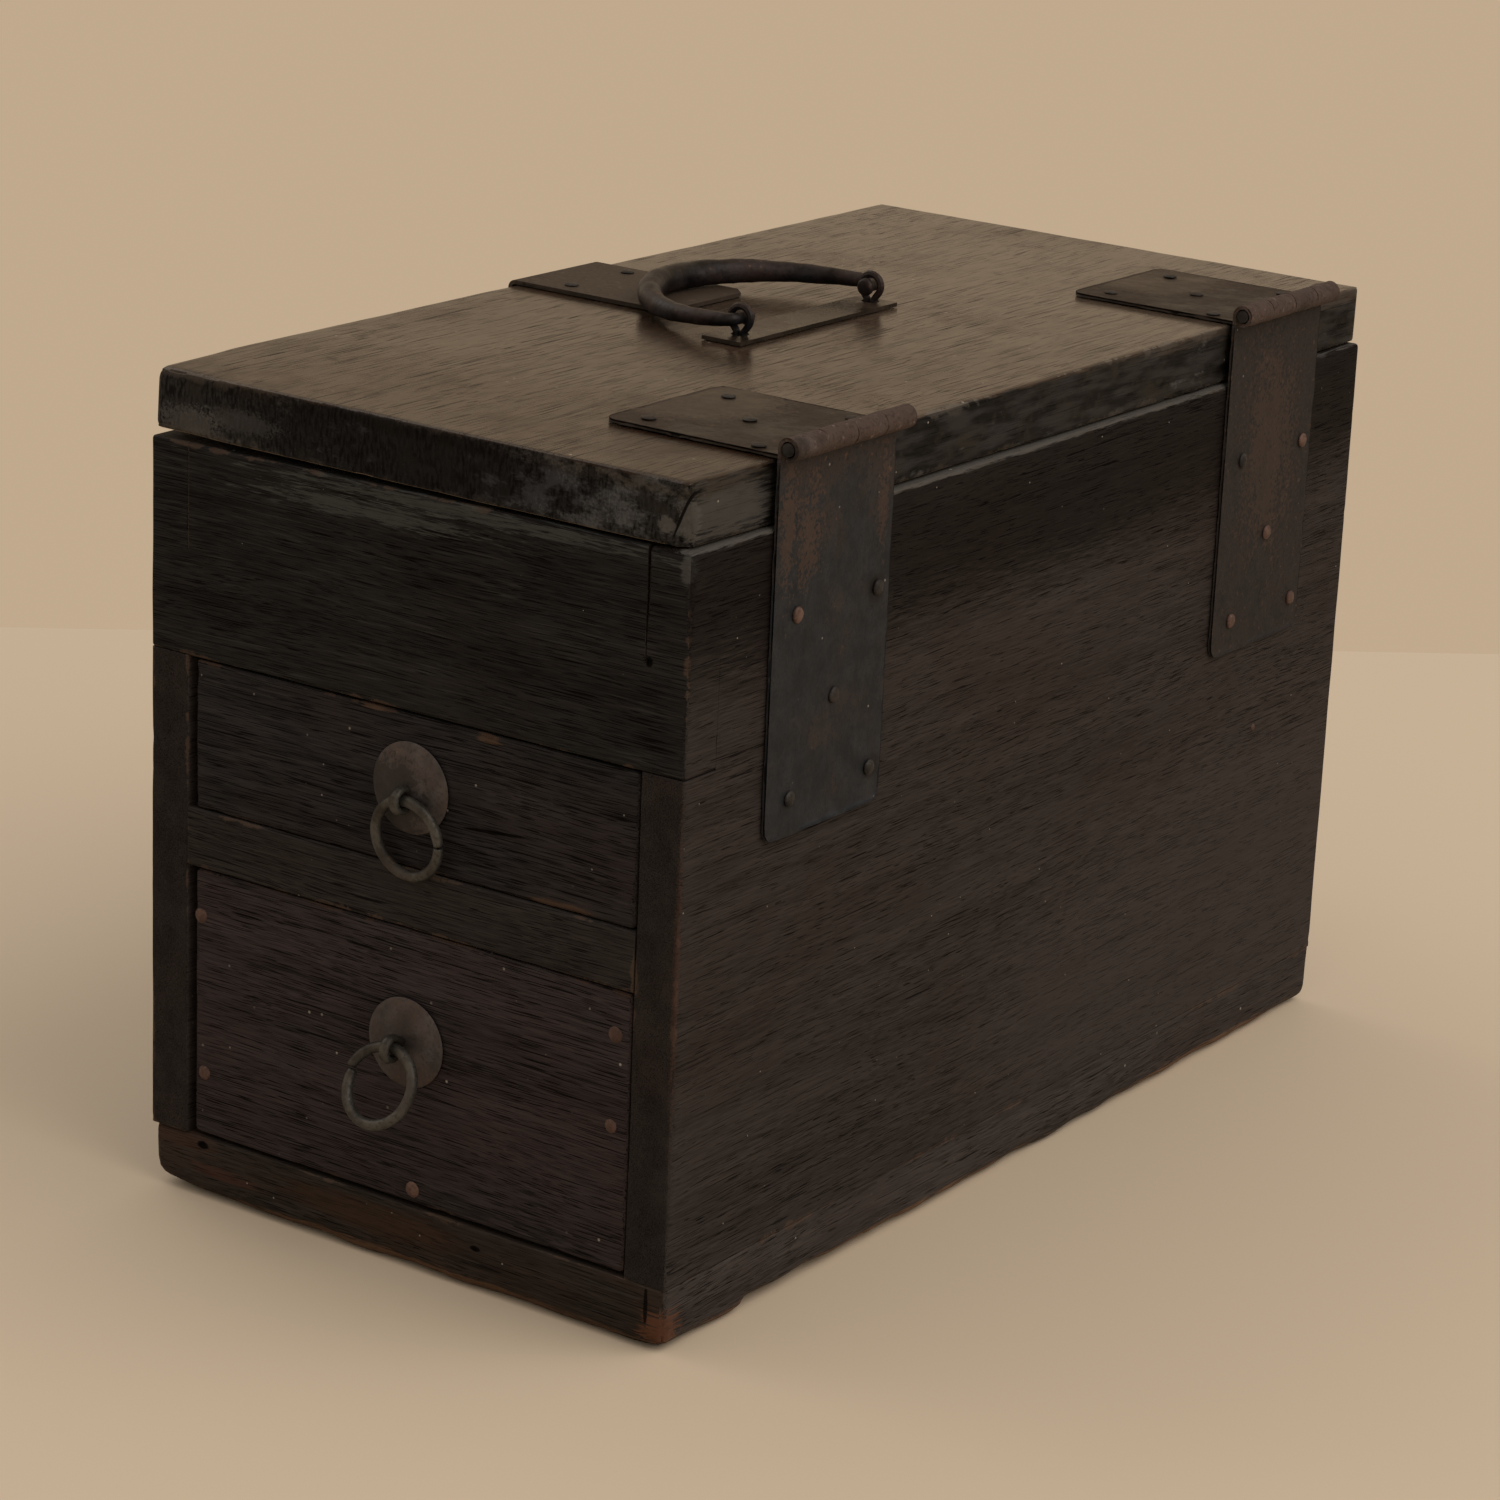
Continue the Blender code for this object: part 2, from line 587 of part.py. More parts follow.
def build_hinge(prefix, strap_front, root, lid):
    barrel_back = strap_front + STRAP_WIDTH + BARREL_OVERHANG
    knuckle = (barrel_back - strap_front) / KNUCKLES
    roll = BARREL_RADIUS - PLATE / 2
    reach = BARREL_RADIUS * 3
    leaf_front = strap_front + LEAF_INSET

    leaf_middle = (HINGE_X - LEAF_LENGTH, HINGE_Z - roll)
    outline = strip_outline(leaf_middle, 0.0, ((LEAF_LENGTH, 0.0), (roll, ROLL_TURN)), PLATE)
    mesh = outline_mesh(prefix + "_lid_leaf", outline, leaf_front, barrel_back, IN_XZ)
    leaf = add_part(prefix + "_lid_leaf", mesh, lid, RUSTY_IRON, smooth=True)
    leaf_cuts = bmesh.new()
    nail_holes(leaf_cuts, leaf_nail_places(strap_front), Z_AXIS, PLATE * 3)
    for along in (leaf_front, barrel_back):
        put_clip(leaf_cuts, (HINGE_X - LEAF_LENGTH, along, HINGE_Z - roll), "Z", LEAF_CLIP, PLATE * 4)

    strap_middle = (STRAP_LOW, HINGE_X - roll)
    outline = strip_outline(strap_middle, 0.0, ((HINGE_Z - STRAP_LOW, 0.0), (roll, ROLL_TURN)), PLATE)
    outline = [(across, up) for up, across in outline]
    mesh = outline_mesh(prefix + "_side_strap", outline, strap_front, strap_front + STRAP_WIDTH, IN_XZ)
    strap = add_part(prefix + "_side_strap", mesh, root, DARK_IRON, smooth=True)
    strap_cuts = bmesh.new()
    nail_holes(strap_cuts, strap_nail_places(strap_front), X_AXIS, PLATE * 3)
    for along in (strap_front, strap_front + STRAP_WIDTH):
        put_clip(strap_cuts, (HINGE_X - roll, along, STRAP_LOW), "X", STRAP_CLIP, PLATE * 4)

    # Knuckles alternate along the pin, the strap's first
    for index in range(KNUCKLES):
        start = strap_front + index * knuckle - GAP / 2
        end = start + knuckle + GAP
        if index == 0:
            start -= reach
        if index == KNUCKLES - 1:
            end += reach
        if index % 2 == 0:
            low = (HINGE_X - BARREL_RADIUS - NOTCH, start, HINGE_Z - reach)
            put_box(leaf_cuts, low, (HINGE_X + reach, end, HINGE_Z + reach))
        else:
            low = (HINGE_X - reach, start, HINGE_Z - BARREL_RADIUS - NOTCH)
            put_box(strap_cuts, low, (HINGE_X + reach, end, HINGE_Z + reach))
    cut(leaf, to_mesh(leaf_cuts, prefix + "_leaf_cuts"), lid)
    cut(strap, to_mesh(strap_cuts, prefix + "_strap_cuts"), root)

    pin = bmesh.new()
    start = (HINGE_X, strap_front, HINGE_Z)
    put_cylinder(pin, start, (HINGE_X, barrel_back, HINGE_Z), PIN_RADIUS, sides=20)
    add_part(prefix + "_hinge_pin", to_mesh(pin, prefix + "_pin"), root, RUSTY_IRON, smooth=True)

    add_nails(prefix + "_strap_nail", strap_nail_places(strap_front), X_AXIS, root, COPPER)
    add_nails(prefix + "_leaf_nail", leaf_nail_places(strap_front), Z_AXIS, lid, RUSTY_IRON)


def hasp_nail_places():
    half = HASP_LEAF_WIDTH / 2 - HASP_NAIL_INSET
    return [(LID_LEFT + HASP_NAIL_OUTER, along, PLATE_TOP) for along in (-half, half)]


def lid_thickness_at(across):
    share = (LID_RIGHT - across) / (LID_RIGHT - LID_LEFT)
    return LID_THICKNESS - LID_TAPER * share


def build_lid(lid):
    body = bmesh.new()
    verts = put_box(body, (LID_LEFT, FRONT, LID_LOW), (LID_RIGHT, BACK, LID_TOP))
    for vert in verts:
        if vert.co.x < 0 and vert.co.z < LID_LOW + GAP:
            vert.co.z += LID_TAPER
    round_uprights(body, LID_CORNER)
    round_rim(body, LID_TOP, LID_TOP, LID_TOP_EDGE)
    round_rim(body, LID_LOW, LID_LOW + LID_TAPER, LID_LOW_EDGE)
    board = add_part("lid_board", to_mesh(body, "lid_board"), lid, LID_WOOD)
    holes = bmesh.new()
    depth = NAIL_LENGTH + PLATE
    for strap_front in strap_fronts():
        nail_holes(holes, leaf_nail_places(strap_front), Z_AXIS, depth)
    nail_holes(holes, hasp_nail_places(), Z_AXIS, depth)
    for place in handle_eye_places():
        put_hole(holes, place, Z_AXIS, LID_THICKNESS * 2, LEG_HOLE, sides=16)
    cut(board, to_mesh(holes, "lid_holes"), lid)


def handle_eye_places():
    half = HANDLE_EYE_SPACING / 2
    return [Vector((0.0, HANDLE_SHIFT + along, PLATE_TOP)) for along in (-half, half)]


def build_handle(lid):
    half_width = HANDLE_PLATE_WIDTH / 2
    half_length = HANDLE_PLATE_LENGTH / 2
    low = (-half_width, -half_length, LID_TOP + GAP)
    plate = add_part(
        "handle_plate", box_mesh("handle_plate", low, (half_width, half_length, PLATE_TOP)), lid, DARK_IRON
    )
    holes = bmesh.new()
    thickness = PLATE + GAP + lid_thickness_at(0.0) + GAP
    for name, place in zip(("front_handle_eye", "rear_handle_eye"), handle_eye_places()):
        put_hole(holes, place, Z_AXIS, PLATE * 3, LEG_HOLE, sides=16)
        points = eye_points(place, Z_AXIS, X_AXIS, HANDLE_EYE_RADIUS, thickness)
        add_part(name, tube_mesh(name, points, EYE_WIRE), lid, DARK_IRON, smooth=True)
    cut(plate, to_mesh(holes, "handle_plate_holes"), lid)

    # Bail: a bow lying to the left, its thin ends bent inwards through the eyes
    bail = make_pivot("handle_pivot", (0.0, HANDLE_SHIFT, HANDLE_Z), lid)
    eye = HANDLE_EYE_SPACING / 2
    bend_start = eye + EYE_WIRE + EYE_PLAY
    widest = bend_start + BAIL_BEND
    half = [(0.0, eye - EYE_WIRE - BAIL_STUB), (0.0, bend_start)]
    for step in range(1, 4):
        angle = math.pi / 2 * step / 4
        half.append((BAIL_BEND - BAIL_BEND * math.cos(angle), bend_start + BAIL_BEND * math.sin(angle)))
    for step in range(13):
        angle = math.pi / 2 * step / 12
        half.append((BAIL_BEND + (BAIL_REACH - BAIL_BEND) * math.sin(angle), widest * math.cos(angle)))
    path = [(reach, -along) for reach, along in half[:-1]] + half[::-1]
    points = []
    shares = []
    for reach, along in path:
        part = reach / BAIL_REACH
        rise = BAIL_ARCH * math.sin(math.pi * part)
        points.append(Vector((-reach, HANDLE_SHIFT + along, HANDLE_Z + rise)))
        thick = BAIL_END_RADIUS + (BAIL_MIDDLE_RADIUS - BAIL_END_RADIUS) * part**1.3
        shares.append(thick / BAIL_MIDDLE_RADIUS)
    mesh = tube_mesh("handle_bail", points, BAIL_MIDDLE_RADIUS, shares, resolution=3)
    add_part("handle_bail", mesh, bail, RUSTY_IRON, smooth=True)


def build_hasp(lid):
    half = HASP_LEAF_WIDTH / 2
    roll = HASP_BARREL_RADIUS - PLATE / 2
    reach = HASP_BARREL_RADIUS * 3
    middle = LEFT - GAP - PLATE / 2
    inner_end = LEFT + HASP_LEAF_LENGTH
    leaf_z = LID_TOP + GAP + PLATE / 2
    moves = (
        (inner_end - middle - HASP_BEND, 0.0),
        (HASP_BEND, math.pi / 2),
        (leaf_z - HASP_BEND - HASP_Z, 0.0),
        (roll, -ROLL_TURN),
    )
    outline = strip_outline((inner_end, leaf_z), math.pi, moves, PLATE)
    mesh = outline_mesh("hasp_leaf", outline, -half, half, IN_XZ)
    leaf = add_part("hasp_leaf", mesh, lid, RUSTY_IRON, smooth=True)
    cuts = bmesh.new()
    nail_holes(cuts, hasp_nail_places(), Z_AXIS, PLATE * 3)
    for along in (-half, half):
        put_clip(cuts, (inner_end, along, leaf_z), "Z", LEAF_CLIP, PLATE * 4)
    knuckle = HASP_KNUCKLE / 2 + GAP / 2
    low_z = HASP_Z - reach
    high_z = HASP_Z + HASP_BARREL_RADIUS + NOTCH
    spans = ((-half - reach, -HASP_WIDTH / 2), (-knuckle, knuckle), (HASP_WIDTH / 2, half + reach))
    for start, end in spans:
        put_box(cuts, (HASP_X - reach, start, low_z), (LEFT, end, high_z))
    cut(leaf, to_mesh(cuts, "hasp_leaf_cuts"), lid)

    add_nails("hasp_leaf_nail", hasp_nail_places(), Z_AXIS, lid, RUSTY_IRON)
    pin = bmesh.new()
    start = (HASP_X, -HASP_WIDTH / 2, HASP_Z)
    put_cylinder(pin, start, (HASP_X, HASP_WIDTH / 2, HASP_Z), HASP_PIN_RADIUS, sides=16)
    add_part("hasp_pin", to_mesh(pin, "hasp_pin"), lid, DARK_IRON, smooth=True)

    # Flap, drawn hanging straight down, then swung out onto the nose of the staple
    swing = make_pivot("hasp_pivot", (HASP_X, 0.0, HASP_Z), lid, (0.0, HASP_SWING, 0.0))
    low_end = STAPLE_Z - HASP_TAIL
    moves = ((HASP_Z - low_end, 0.0), (roll, -ROLL_TURN))
    outline = strip_outline((low_end, middle), 0.0, moves, PLATE)
    outline = [(across, up) for up, across in outline]
    mesh = outline_mesh("hasp_flap", outline, -HASP_WIDTH / 2, HASP_WIDTH / 2, IN_XZ)
    flap = add_part("hasp_flap", mesh, swing, DARK_IRON, smooth=True)
    cuts = bmesh.new()
    for along in (-1, 1):
        put_clip(cuts, (middle, along * HASP_WIDTH / 2, low_end), "X", HASP_CLIP, PLATE * 4)
        spans = sorted((along * (HASP_KNUCKLE / 2 - GAP / 2), along * (HASP_WIDTH / 2 + reach)))
        high = HASP_Z - HASP_BARREL_RADIUS - NOTCH
        put_box(cuts, (HASP_X - reach, spans[0], high), (LEFT + BOARD, spans[1], HASP_Z + reach))
    slot_high = STAPLE_EYE_RADIUS + EYE_WIRE + SLOT_PLAY
    slot_wide = EYE_WIRE + EYE_PLAY
    put_box(
        cuts,
        (middle - PLATE * 2, -slot_wide, STAPLE_Z - slot_high),
        (middle + PLATE * 2, slot_wide, STAPLE_Z + slot_high),
    )
    cut(flap, to_mesh(cuts, "hasp_flap_cuts"), swing)


def build_drawer(prefix, opening_low, opening_high, front_raise, pull_z, pull, root):
    low = opening_low + GAP
    high = opening_high - DRAWER_RUN
    half = INNER - DRAWER_RUN
    face = FRONT + DRAWER_SET_BACK
    box_front = face + DRAWER_FRONT + GAP
    box_back = BACK - BOARD - DRAWER_END_PLAY
    side_top = high - DRAWER_SIDE_DROP
    inside = half - DRAWER_SIDE - GAP
    plate = Vector((PULL_SIDE, face - GAP, pull_z))
    eye = plate - Y_AXIS * PULL_PLATE_CROWN - Z_AXIS * pull["drop"]
    drawer = make_pivot(prefix + "_drawer_slide", (0.0, face, low), root)

    low_corner = (-half, face, low + front_raise)
    mesh = box_mesh(prefix + "_drawer_front", low_corner, (half, face + DRAWER_FRONT, high))
    front = add_part(prefix + "_drawer_front", mesh, drawer, CASE_WOOD)
    ease_edges(front, EDGE)
    holes = bmesh.new()
    put_hole(holes, eye, -Y_AXIS, DRAWER_FRONT * 2, LEG_HOLE, proud=BOARD, sides=16)
    cut(front, to_mesh(holes, prefix + "_front_holes"), drawer)

    pieces = {
        "left_side": ((-half, box_front, low), (-half + DRAWER_SIDE, box_back, side_top)),
        "right_side": ((half - DRAWER_SIDE, box_front, low), (half, box_back, side_top)),
        "bottom": ((-inside, box_front, low), (inside, box_back, low + DRAWER_BOTTOM)),
        "back": (
            (-inside, box_back - DRAWER_SIDE, low + DRAWER_BOTTOM + GAP),
            (inside, box_back, side_top),
        ),
    }
    for name, (corner, far_corner) in pieces.items():
        mesh = box_mesh(f"{prefix}_drawer_{name}", corner, far_corner)
        add_part(f"{prefix}_drawer_{name}", mesh, drawer, INNER_WOOD)
    build_pull(prefix, plate, eye, drawer, pull)


def build_pull(prefix, plate_place, eye, drawer, pull):
    # Domed plate, thin at its rim, with a hole for the eye
    rings = 7
    profile = [(0.0, 0.0), (PULL_PLATE_RADIUS, 0.0)]
    for step in range(rings):
        radius = PULL_PLATE_RADIUS * (1 - step / (rings - 1))
        swell = 1 - (radius / PULL_PLATE_RADIUS) ** 2
        profile.append((radius, PULL_PLATE_RIM + (PULL_PLATE_CROWN - PULL_PLATE_RIM) * swell))
    dome = bmesh.new()
    put_turned(dome, profile, facing(plate_place, -Y_AXIS), steps=32)
    name = prefix + "_pull_plate"
    plate = add_part(name, to_mesh(dome, name), drawer, RUSTY_IRON, smooth=True)
    hole = bmesh.new()
    put_hole(hole, eye, -Y_AXIS, PULL_PLATE_CROWN * 2, PULL_HOLE, sides=20)
    cut(plate, to_mesh(hole, name + "_hole"), drawer)

    thickness = PULL_PLATE_CROWN + GAP + DRAWER_FRONT + GAP
    name = prefix + "_pull_eye"
    points = eye_points(eye, -Y_AXIS, Z_AXIS, PULL_EYE_RADIUS, thickness, pull["neck"])
    add_part(name, tube_mesh(name, points, EYE_WIRE), drawer, DARK_IRON, smooth=True)

    # Ring: a bent wire whose ends meet at its parting, hanging from the eye
    hang = eye - Y_AXIS * (pull["neck"] + PULL_EYE_RADIUS)
    pivot = make_pivot(prefix + "_ring_pivot", hang, drawer, (-pull["swing"], 0.0, 0.0))
    middle = hang + Vector((math.sin(pull["skew"]), 0.0, -math.cos(pull["skew"]))) * RING_RADIUS
    points = []
    count = 36
    for step in range(count + 1):
        share = step / count
        angle = pull["parting"] + RING_OPENING / 2 + (2 * math.pi - RING_OPENING) * share
        radius = RING_RADIUS + pull["spring"] * (2 * share - 1)
        points.append(middle + Vector((radius * math.cos(angle), 0.0, radius * math.sin(angle))))
    name = prefix + "_pull_ring"
    add_part(name, tube_mesh(name, points, RING_WIRE, resolution=3), pivot, RING_IRON, smooth=True)


# The box stands with the middle of its whole footprint on the origin
def centre_footprint(root):
    bpy.context.view_layer.update()
    graph = bpy.context.evaluated_depsgraph_get()
    points = []
    for part in PARTS.objects:
        if part.type == "MESH":
            solid = part.evaluated_get(graph)
            points += [solid.matrix_world @ vert.co for vert in solid.data.vertices]
    for axis in (0, 1):
        places = [point[axis] for point in points]
        root.location[axis] = -(min(places) + max(places)) / 2
    bpy.context.view_layer.update()


def main():
    root = make_pivot("box_origin", (0.0, 0.0, 0.0))
    lid = make_pivot("lid_pivot", (HINGE_X, 0.0, HINGE_Z), root, (0.0, LID_TILT, 0.0))
    build_carcass(root)
    build_lid(lid)
    for prefix, strap_front in zip(("front", "rear"), strap_fronts()):
        build_hinge(prefix, strap_front, root, lid)
    build_hasp(lid)
    build_handle(lid)
    upper_pull = {
        "neck": UPPER_EYE_NECK,
        "drop": UPPER_EYE_DROP,
        "swing": UPPER_RING_SWING,
        "skew": UPPER_RING_SKEW,
        "parting": 0.0,
        "spring": 0.0,
    }
    lower_pull = {
        "neck": EYE_NECK,
        "drop": 0.0,
        "swing": LOWER_RING_SWING,
        "skew": 0.0,
        "parting": math.radians(165),
        "spring": LOWER_RING_SPRING,
    }
    upper_z = (SHELF_TOP + FRONT_BOARD_LOW) / 2 + UPPER_PULL_RAISE
    lower_z = (BASE_THICKNESS + SHELF_LOW) / 2 + LOWER_PULL_RAISE
    build_drawer("upper", SHELF_TOP, FRONT_BOARD_LOW, 0.0, upper_z, upper_pull, root)
    build_drawer("lower", BASE_THICKNESS, SHELF_LOW, LOWER_FRONT_RAISE, lower_z, lower_pull, root)
    centre_footprint(root)


main()
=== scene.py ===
import json
import math

import bmesh
import bpy
from mathutils import Matrix, Vector, noise


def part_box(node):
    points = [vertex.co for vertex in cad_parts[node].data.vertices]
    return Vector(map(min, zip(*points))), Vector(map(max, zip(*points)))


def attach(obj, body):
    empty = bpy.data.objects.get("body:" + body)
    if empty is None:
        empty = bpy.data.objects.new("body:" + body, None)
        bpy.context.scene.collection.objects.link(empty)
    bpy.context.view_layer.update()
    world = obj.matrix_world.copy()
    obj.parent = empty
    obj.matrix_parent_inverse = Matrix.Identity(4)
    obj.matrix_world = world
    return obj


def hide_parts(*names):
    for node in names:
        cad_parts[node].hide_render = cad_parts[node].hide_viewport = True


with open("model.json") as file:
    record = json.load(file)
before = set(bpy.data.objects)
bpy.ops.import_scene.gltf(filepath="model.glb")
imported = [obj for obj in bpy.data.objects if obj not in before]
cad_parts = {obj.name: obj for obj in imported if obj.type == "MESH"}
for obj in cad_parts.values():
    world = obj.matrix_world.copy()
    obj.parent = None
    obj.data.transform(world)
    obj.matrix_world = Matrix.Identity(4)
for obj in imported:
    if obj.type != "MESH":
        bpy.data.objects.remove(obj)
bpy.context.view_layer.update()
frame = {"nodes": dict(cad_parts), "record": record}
scene = bpy.context.scene
scene.view_settings.view_transform = "Standard"
joints = {joint["name"]: joint for joint in frame["record"]["behaviour"]["joints"]}
print("frame loaded")

# camera: place and turn found from the photograph, in metres, degrees and millimetres
cameraSettings = {
    "place": (0.699262, -1.020989, 0.49352),
    "azimuth": 34.4625,
    "elevation": 17.3227,
    "roll": 2.467,
    "lens": 105.118,
    "sensor": 36.0,
    "clip": (0.05, 30.0),
}


def makeCamera(settings):
    data = bpy.data.cameras.new("photoCamera")
    data.sensor_width = settings["sensor"]
    data.lens = settings["lens"]
    data.clip_start, data.clip_end = settings["clip"]
    camera = bpy.data.objects.new("photoCamera", data)
    scene.collection.objects.link(camera)
    azimuth, elevation, roll = (math.radians(settings[name]) for name in ("azimuth", "elevation", "roll"))
    level = math.cos(elevation)
    back = Vector((math.sin(azimuth) * level, -math.cos(azimuth) * level, math.sin(elevation)))
    right = Vector((math.cos(azimuth), math.sin(azimuth), 0.0))
    up = back.cross(right)
    rolledRight = right * math.cos(roll) + up * math.sin(roll)
    rolledUp = up * math.cos(roll) - right * math.sin(roll)
    turn = Matrix((rolledRight, rolledUp, back)).transposed()
    camera.matrix_world = Matrix.Translation(settings["place"]) @ turn.to_4x4()
    scene.camera = camera


makeCamera(cameraSettings)
print("camera placed")


def cornersOf(node):
    return [Vector(corner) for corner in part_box(node)]


caseLow, caseHigh = cornersOf("back_board")
rightLow, rightHigh = cornersOf("right_side_board")
leftLow, leftHigh = cornersOf("left_side_board")
frontLow, frontHigh = cornersOf("front_board")
middleX = (caseLow.x + caseHigh.x) / 2
frontY = frontLow.y
halfLength = 0.1765
topZ = rightHigh.z
stepZ = (frontLow.z + frontHigh.z) / 2  # the finger joint of sides and front board
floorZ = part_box("compartment_floor")[0].z
gap = 0.000004  # the boards are pressed together
seam = 0.00012  # but for the upright joint lines of the front
frontFace = -176.5  # the front and the lid's top as millimetres on the box
lidTop = 234.6


# a point given on the closed box from its middle, in millimetres
def onBox(x, y, z):
    return (middleX + x / 1000, frontY + halfLength + y / 1000, z / 1000)


# a worn or stained place on the closed box, or a patch of painted shade, light or reflection: middle and half
# sizes in millimetres; more can hold a blend mode, a turn, or how much duller the place is
def patch(x, y, z, size, color, share=0.7, ragged=1.0, **more):
    metres = [side / 1000 for side in size]
    return {"place": onBox(x, y, z), "size": metres, "color": color, "share": share, "ragged": ragged, **more}


# node helpers: a socket is linked, a plain value is set on the input
def feed(tree, socket, value):
    if isinstance(value, bpy.types.NodeSocket):
        tree.links.new(value, socket)
    else:
        socket.default_value = value


def mapped(tree, vector, scale=(1, 1, 1), location=(0, 0, 0), rotation=(0, 0, 0)):
    node = tree.nodes.new("ShaderNodeMapping")
    feed(tree, node.inputs["Vector"], vector)
    node.inputs["Scale"].default_value = scale
    node.inputs["Location"].default_value = location
    node.inputs["Rotation"].default_value = rotation
    return node.outputs["Vector"]


# noise over the place; the scale is one number or one for each axis
def noisy(tree, vector, scale, detail=3.0, roughness=0.5, shift=(0, 0, 0)):
    node = tree.nodes.new("ShaderNodeTexNoise")
    scales = scale if isinstance(scale, tuple) else (scale, scale, scale)
    feed(tree, node.inputs["Vector"], mapped(tree, vector, scales, shift))
    node.inputs["Scale"].default_value = 1.0
    node.inputs["Detail"].default_value = detail
    node.inputs["Roughness"].default_value = roughness
    return node.outputs["Fac"]


def ranged(tree, value, start, end, low=0.0, high=1.0):
    node = tree.nodes.new("ShaderNodeMapRange")
    node.interpolation_type = "SMOOTHSTEP"
    given = {"Value": value, "From Min": start, "From Max": end, "To Min": low, "To Max": high}
    for label, entry in given.items():
        feed(tree, node.inputs[label], entry)
    return node.outputs["Result"]


def computed(tree, operation, first, second):
    node = tree.nodes.new("ShaderNodeMath")
    node.operation = operation
    feed(tree, node.inputs[0], first)
    feed(tree, node.inputs[1], second)
    return node.outputs[0]


def plus(tree, first, second):
    return computed(tree, "ADD", first, second)


def minus(tree, first, second):
    return computed(tree, "SUBTRACT", first, second)


def times(tree, first, second):
    return computed(tree, "MULTIPLY", first, second)


def vectorMath(tree, operation, first, second=(0, 0, 0)):
    node = tree.nodes.new("ShaderNodeVectorMath")
    node.operation = operation
    feed(tree, node.inputs[0], first)
    feed(tree, node.inputs[1], second)
    return node.outputs["Value" if operation == "LENGTH" else "Vector"]


def splitAxes(tree, vector):
    node = tree.nodes.new("ShaderNodeSeparateXYZ")
    feed(tree, node.inputs[0], vector)
    return node.outputs


def blended(tree, factor, first, second, mode="MIX"):
    node = tree.nodes.new("ShaderNodeMix")
    node.data_type = "RGBA"
    node.blend_type = mode
    node.clamp_factor = True
    colors = [socket for socket in node.inputs if socket.type == "RGBA"]
    feed(tree, node.inputs["Factor"], factor)
    for socket, value in zip(colors, (first, second)):
        feed(tree, socket, value if isinstance(value, bpy.types.NodeSocket) else (*value, 1.0))
    return next(socket for socket in node.outputs if socket.type == "RGBA")


def startGroup(name, inputs, outputs):
    tree = bpy.data.node_groups.new(name, "ShaderNodeTree")
    for label, value in inputs.items():
        kind = "NodeSocketVector" if isinstance(value, tuple) else "NodeSocketFloat"
        socket = tree.interface.new_socket(label, in_out="INPUT", socket_type=kind)
        socket.default_value = value
    for label in outputs:
        tree.interface.new_socket(label, in_out="OUTPUT", socket_type="NodeSocketFloat")
    source = tree.nodes.new("NodeGroupInput")
    target = tree.nodes.new("NodeGroupOutput")
    return tree, source.outputs, target.inputs


def useGroup(tree, group, values):
    node = tree.nodes.new("ShaderNodeGroup")
    node.node_tree = group
    for label, value in values.items():
        feed(tree, node.inputs[label], value)
    return node.outputs


# wood grain along X: broad figure, open pores as thin dashes, fibres, large blotches, and glints: pale raised
# fibres with a painted highlight on them
def makeGrainGroup():
    tree, given, put = startGroup(
        "woodGrain", {"Vector": (0, 0, 0), "Pore Length": 1.0, "Pore Share": 0.5},
        ["Figure", "Pores", "Fibres", "Blotches", "Glints"],
    )
    place = given["Vector"]
    bend = noisy(tree, place, (7, 22, 22), 2.0)
    waved = vectorMath(tree, "ADD", place, vectorMath(tree, "MULTIPLY", bend, (0.0, 0.006, 0.006)))
    feed(tree, put["Figure"], ranged(tree, noisy(tree, waved, (5, 150, 150), 6.0, 0.65), 0.3, 0.7))
    areas = noisy(tree, waved, (9, 60, 60), shift=(3.1, 1.7, 0.4))
    crowding = times(tree, minus(tree, areas, 0.5), 0.14)
    edge = minus(tree, 0.82, times(tree, given["Pore Share"], 0.30))
    pores = 0.0
    for run, thin, shift in ((105.0, 4300.0, 0.0), (44.0, 3300.0, 0.61)):
        stretch = tree.nodes.new("ShaderNodeCombineXYZ")
        feed(tree, stretch.inputs["X"], computed(tree, "DIVIDE", run, given["Pore Length"]))
        stretch.inputs["Y"].default_value = thin
        stretch.inputs["Z"].default_value = thin
        moved = vectorMath(tree, "ADD", waved, (shift, shift, shift))
        dashes = noisy(tree, vectorMath(tree, "MULTIPLY", moved, stretch.outputs["Vector"]), 1.0, 1.0, 0.3)
        level = plus(tree, dashes, crowding)
        pores = computed(tree, "MAXIMUM", pores, ranged(tree, level, edge, plus(tree, edge, 0.06)))
    feed(tree, put["Pores"], pores)
    feed(tree, put["Fibres"], noisy(tree, waved, (70, 2400, 2400), 3.0, 0.65, (0.7, 0.2, 0.9)))
    feed(tree, put["Blotches"], noisy(tree, place, (14, 22, 22), 4.0, 0.6, (5.3, 2.2, 7.1)))
    raised = noisy(tree, waved, (45, 1650, 1650), 1.0, 0.4, (2.7, 1.2, 0.3))
    feed(tree, put["Glints"], ranged(tree, minus(tree, raised, crowding), 0.62, 0.74))
    return tree


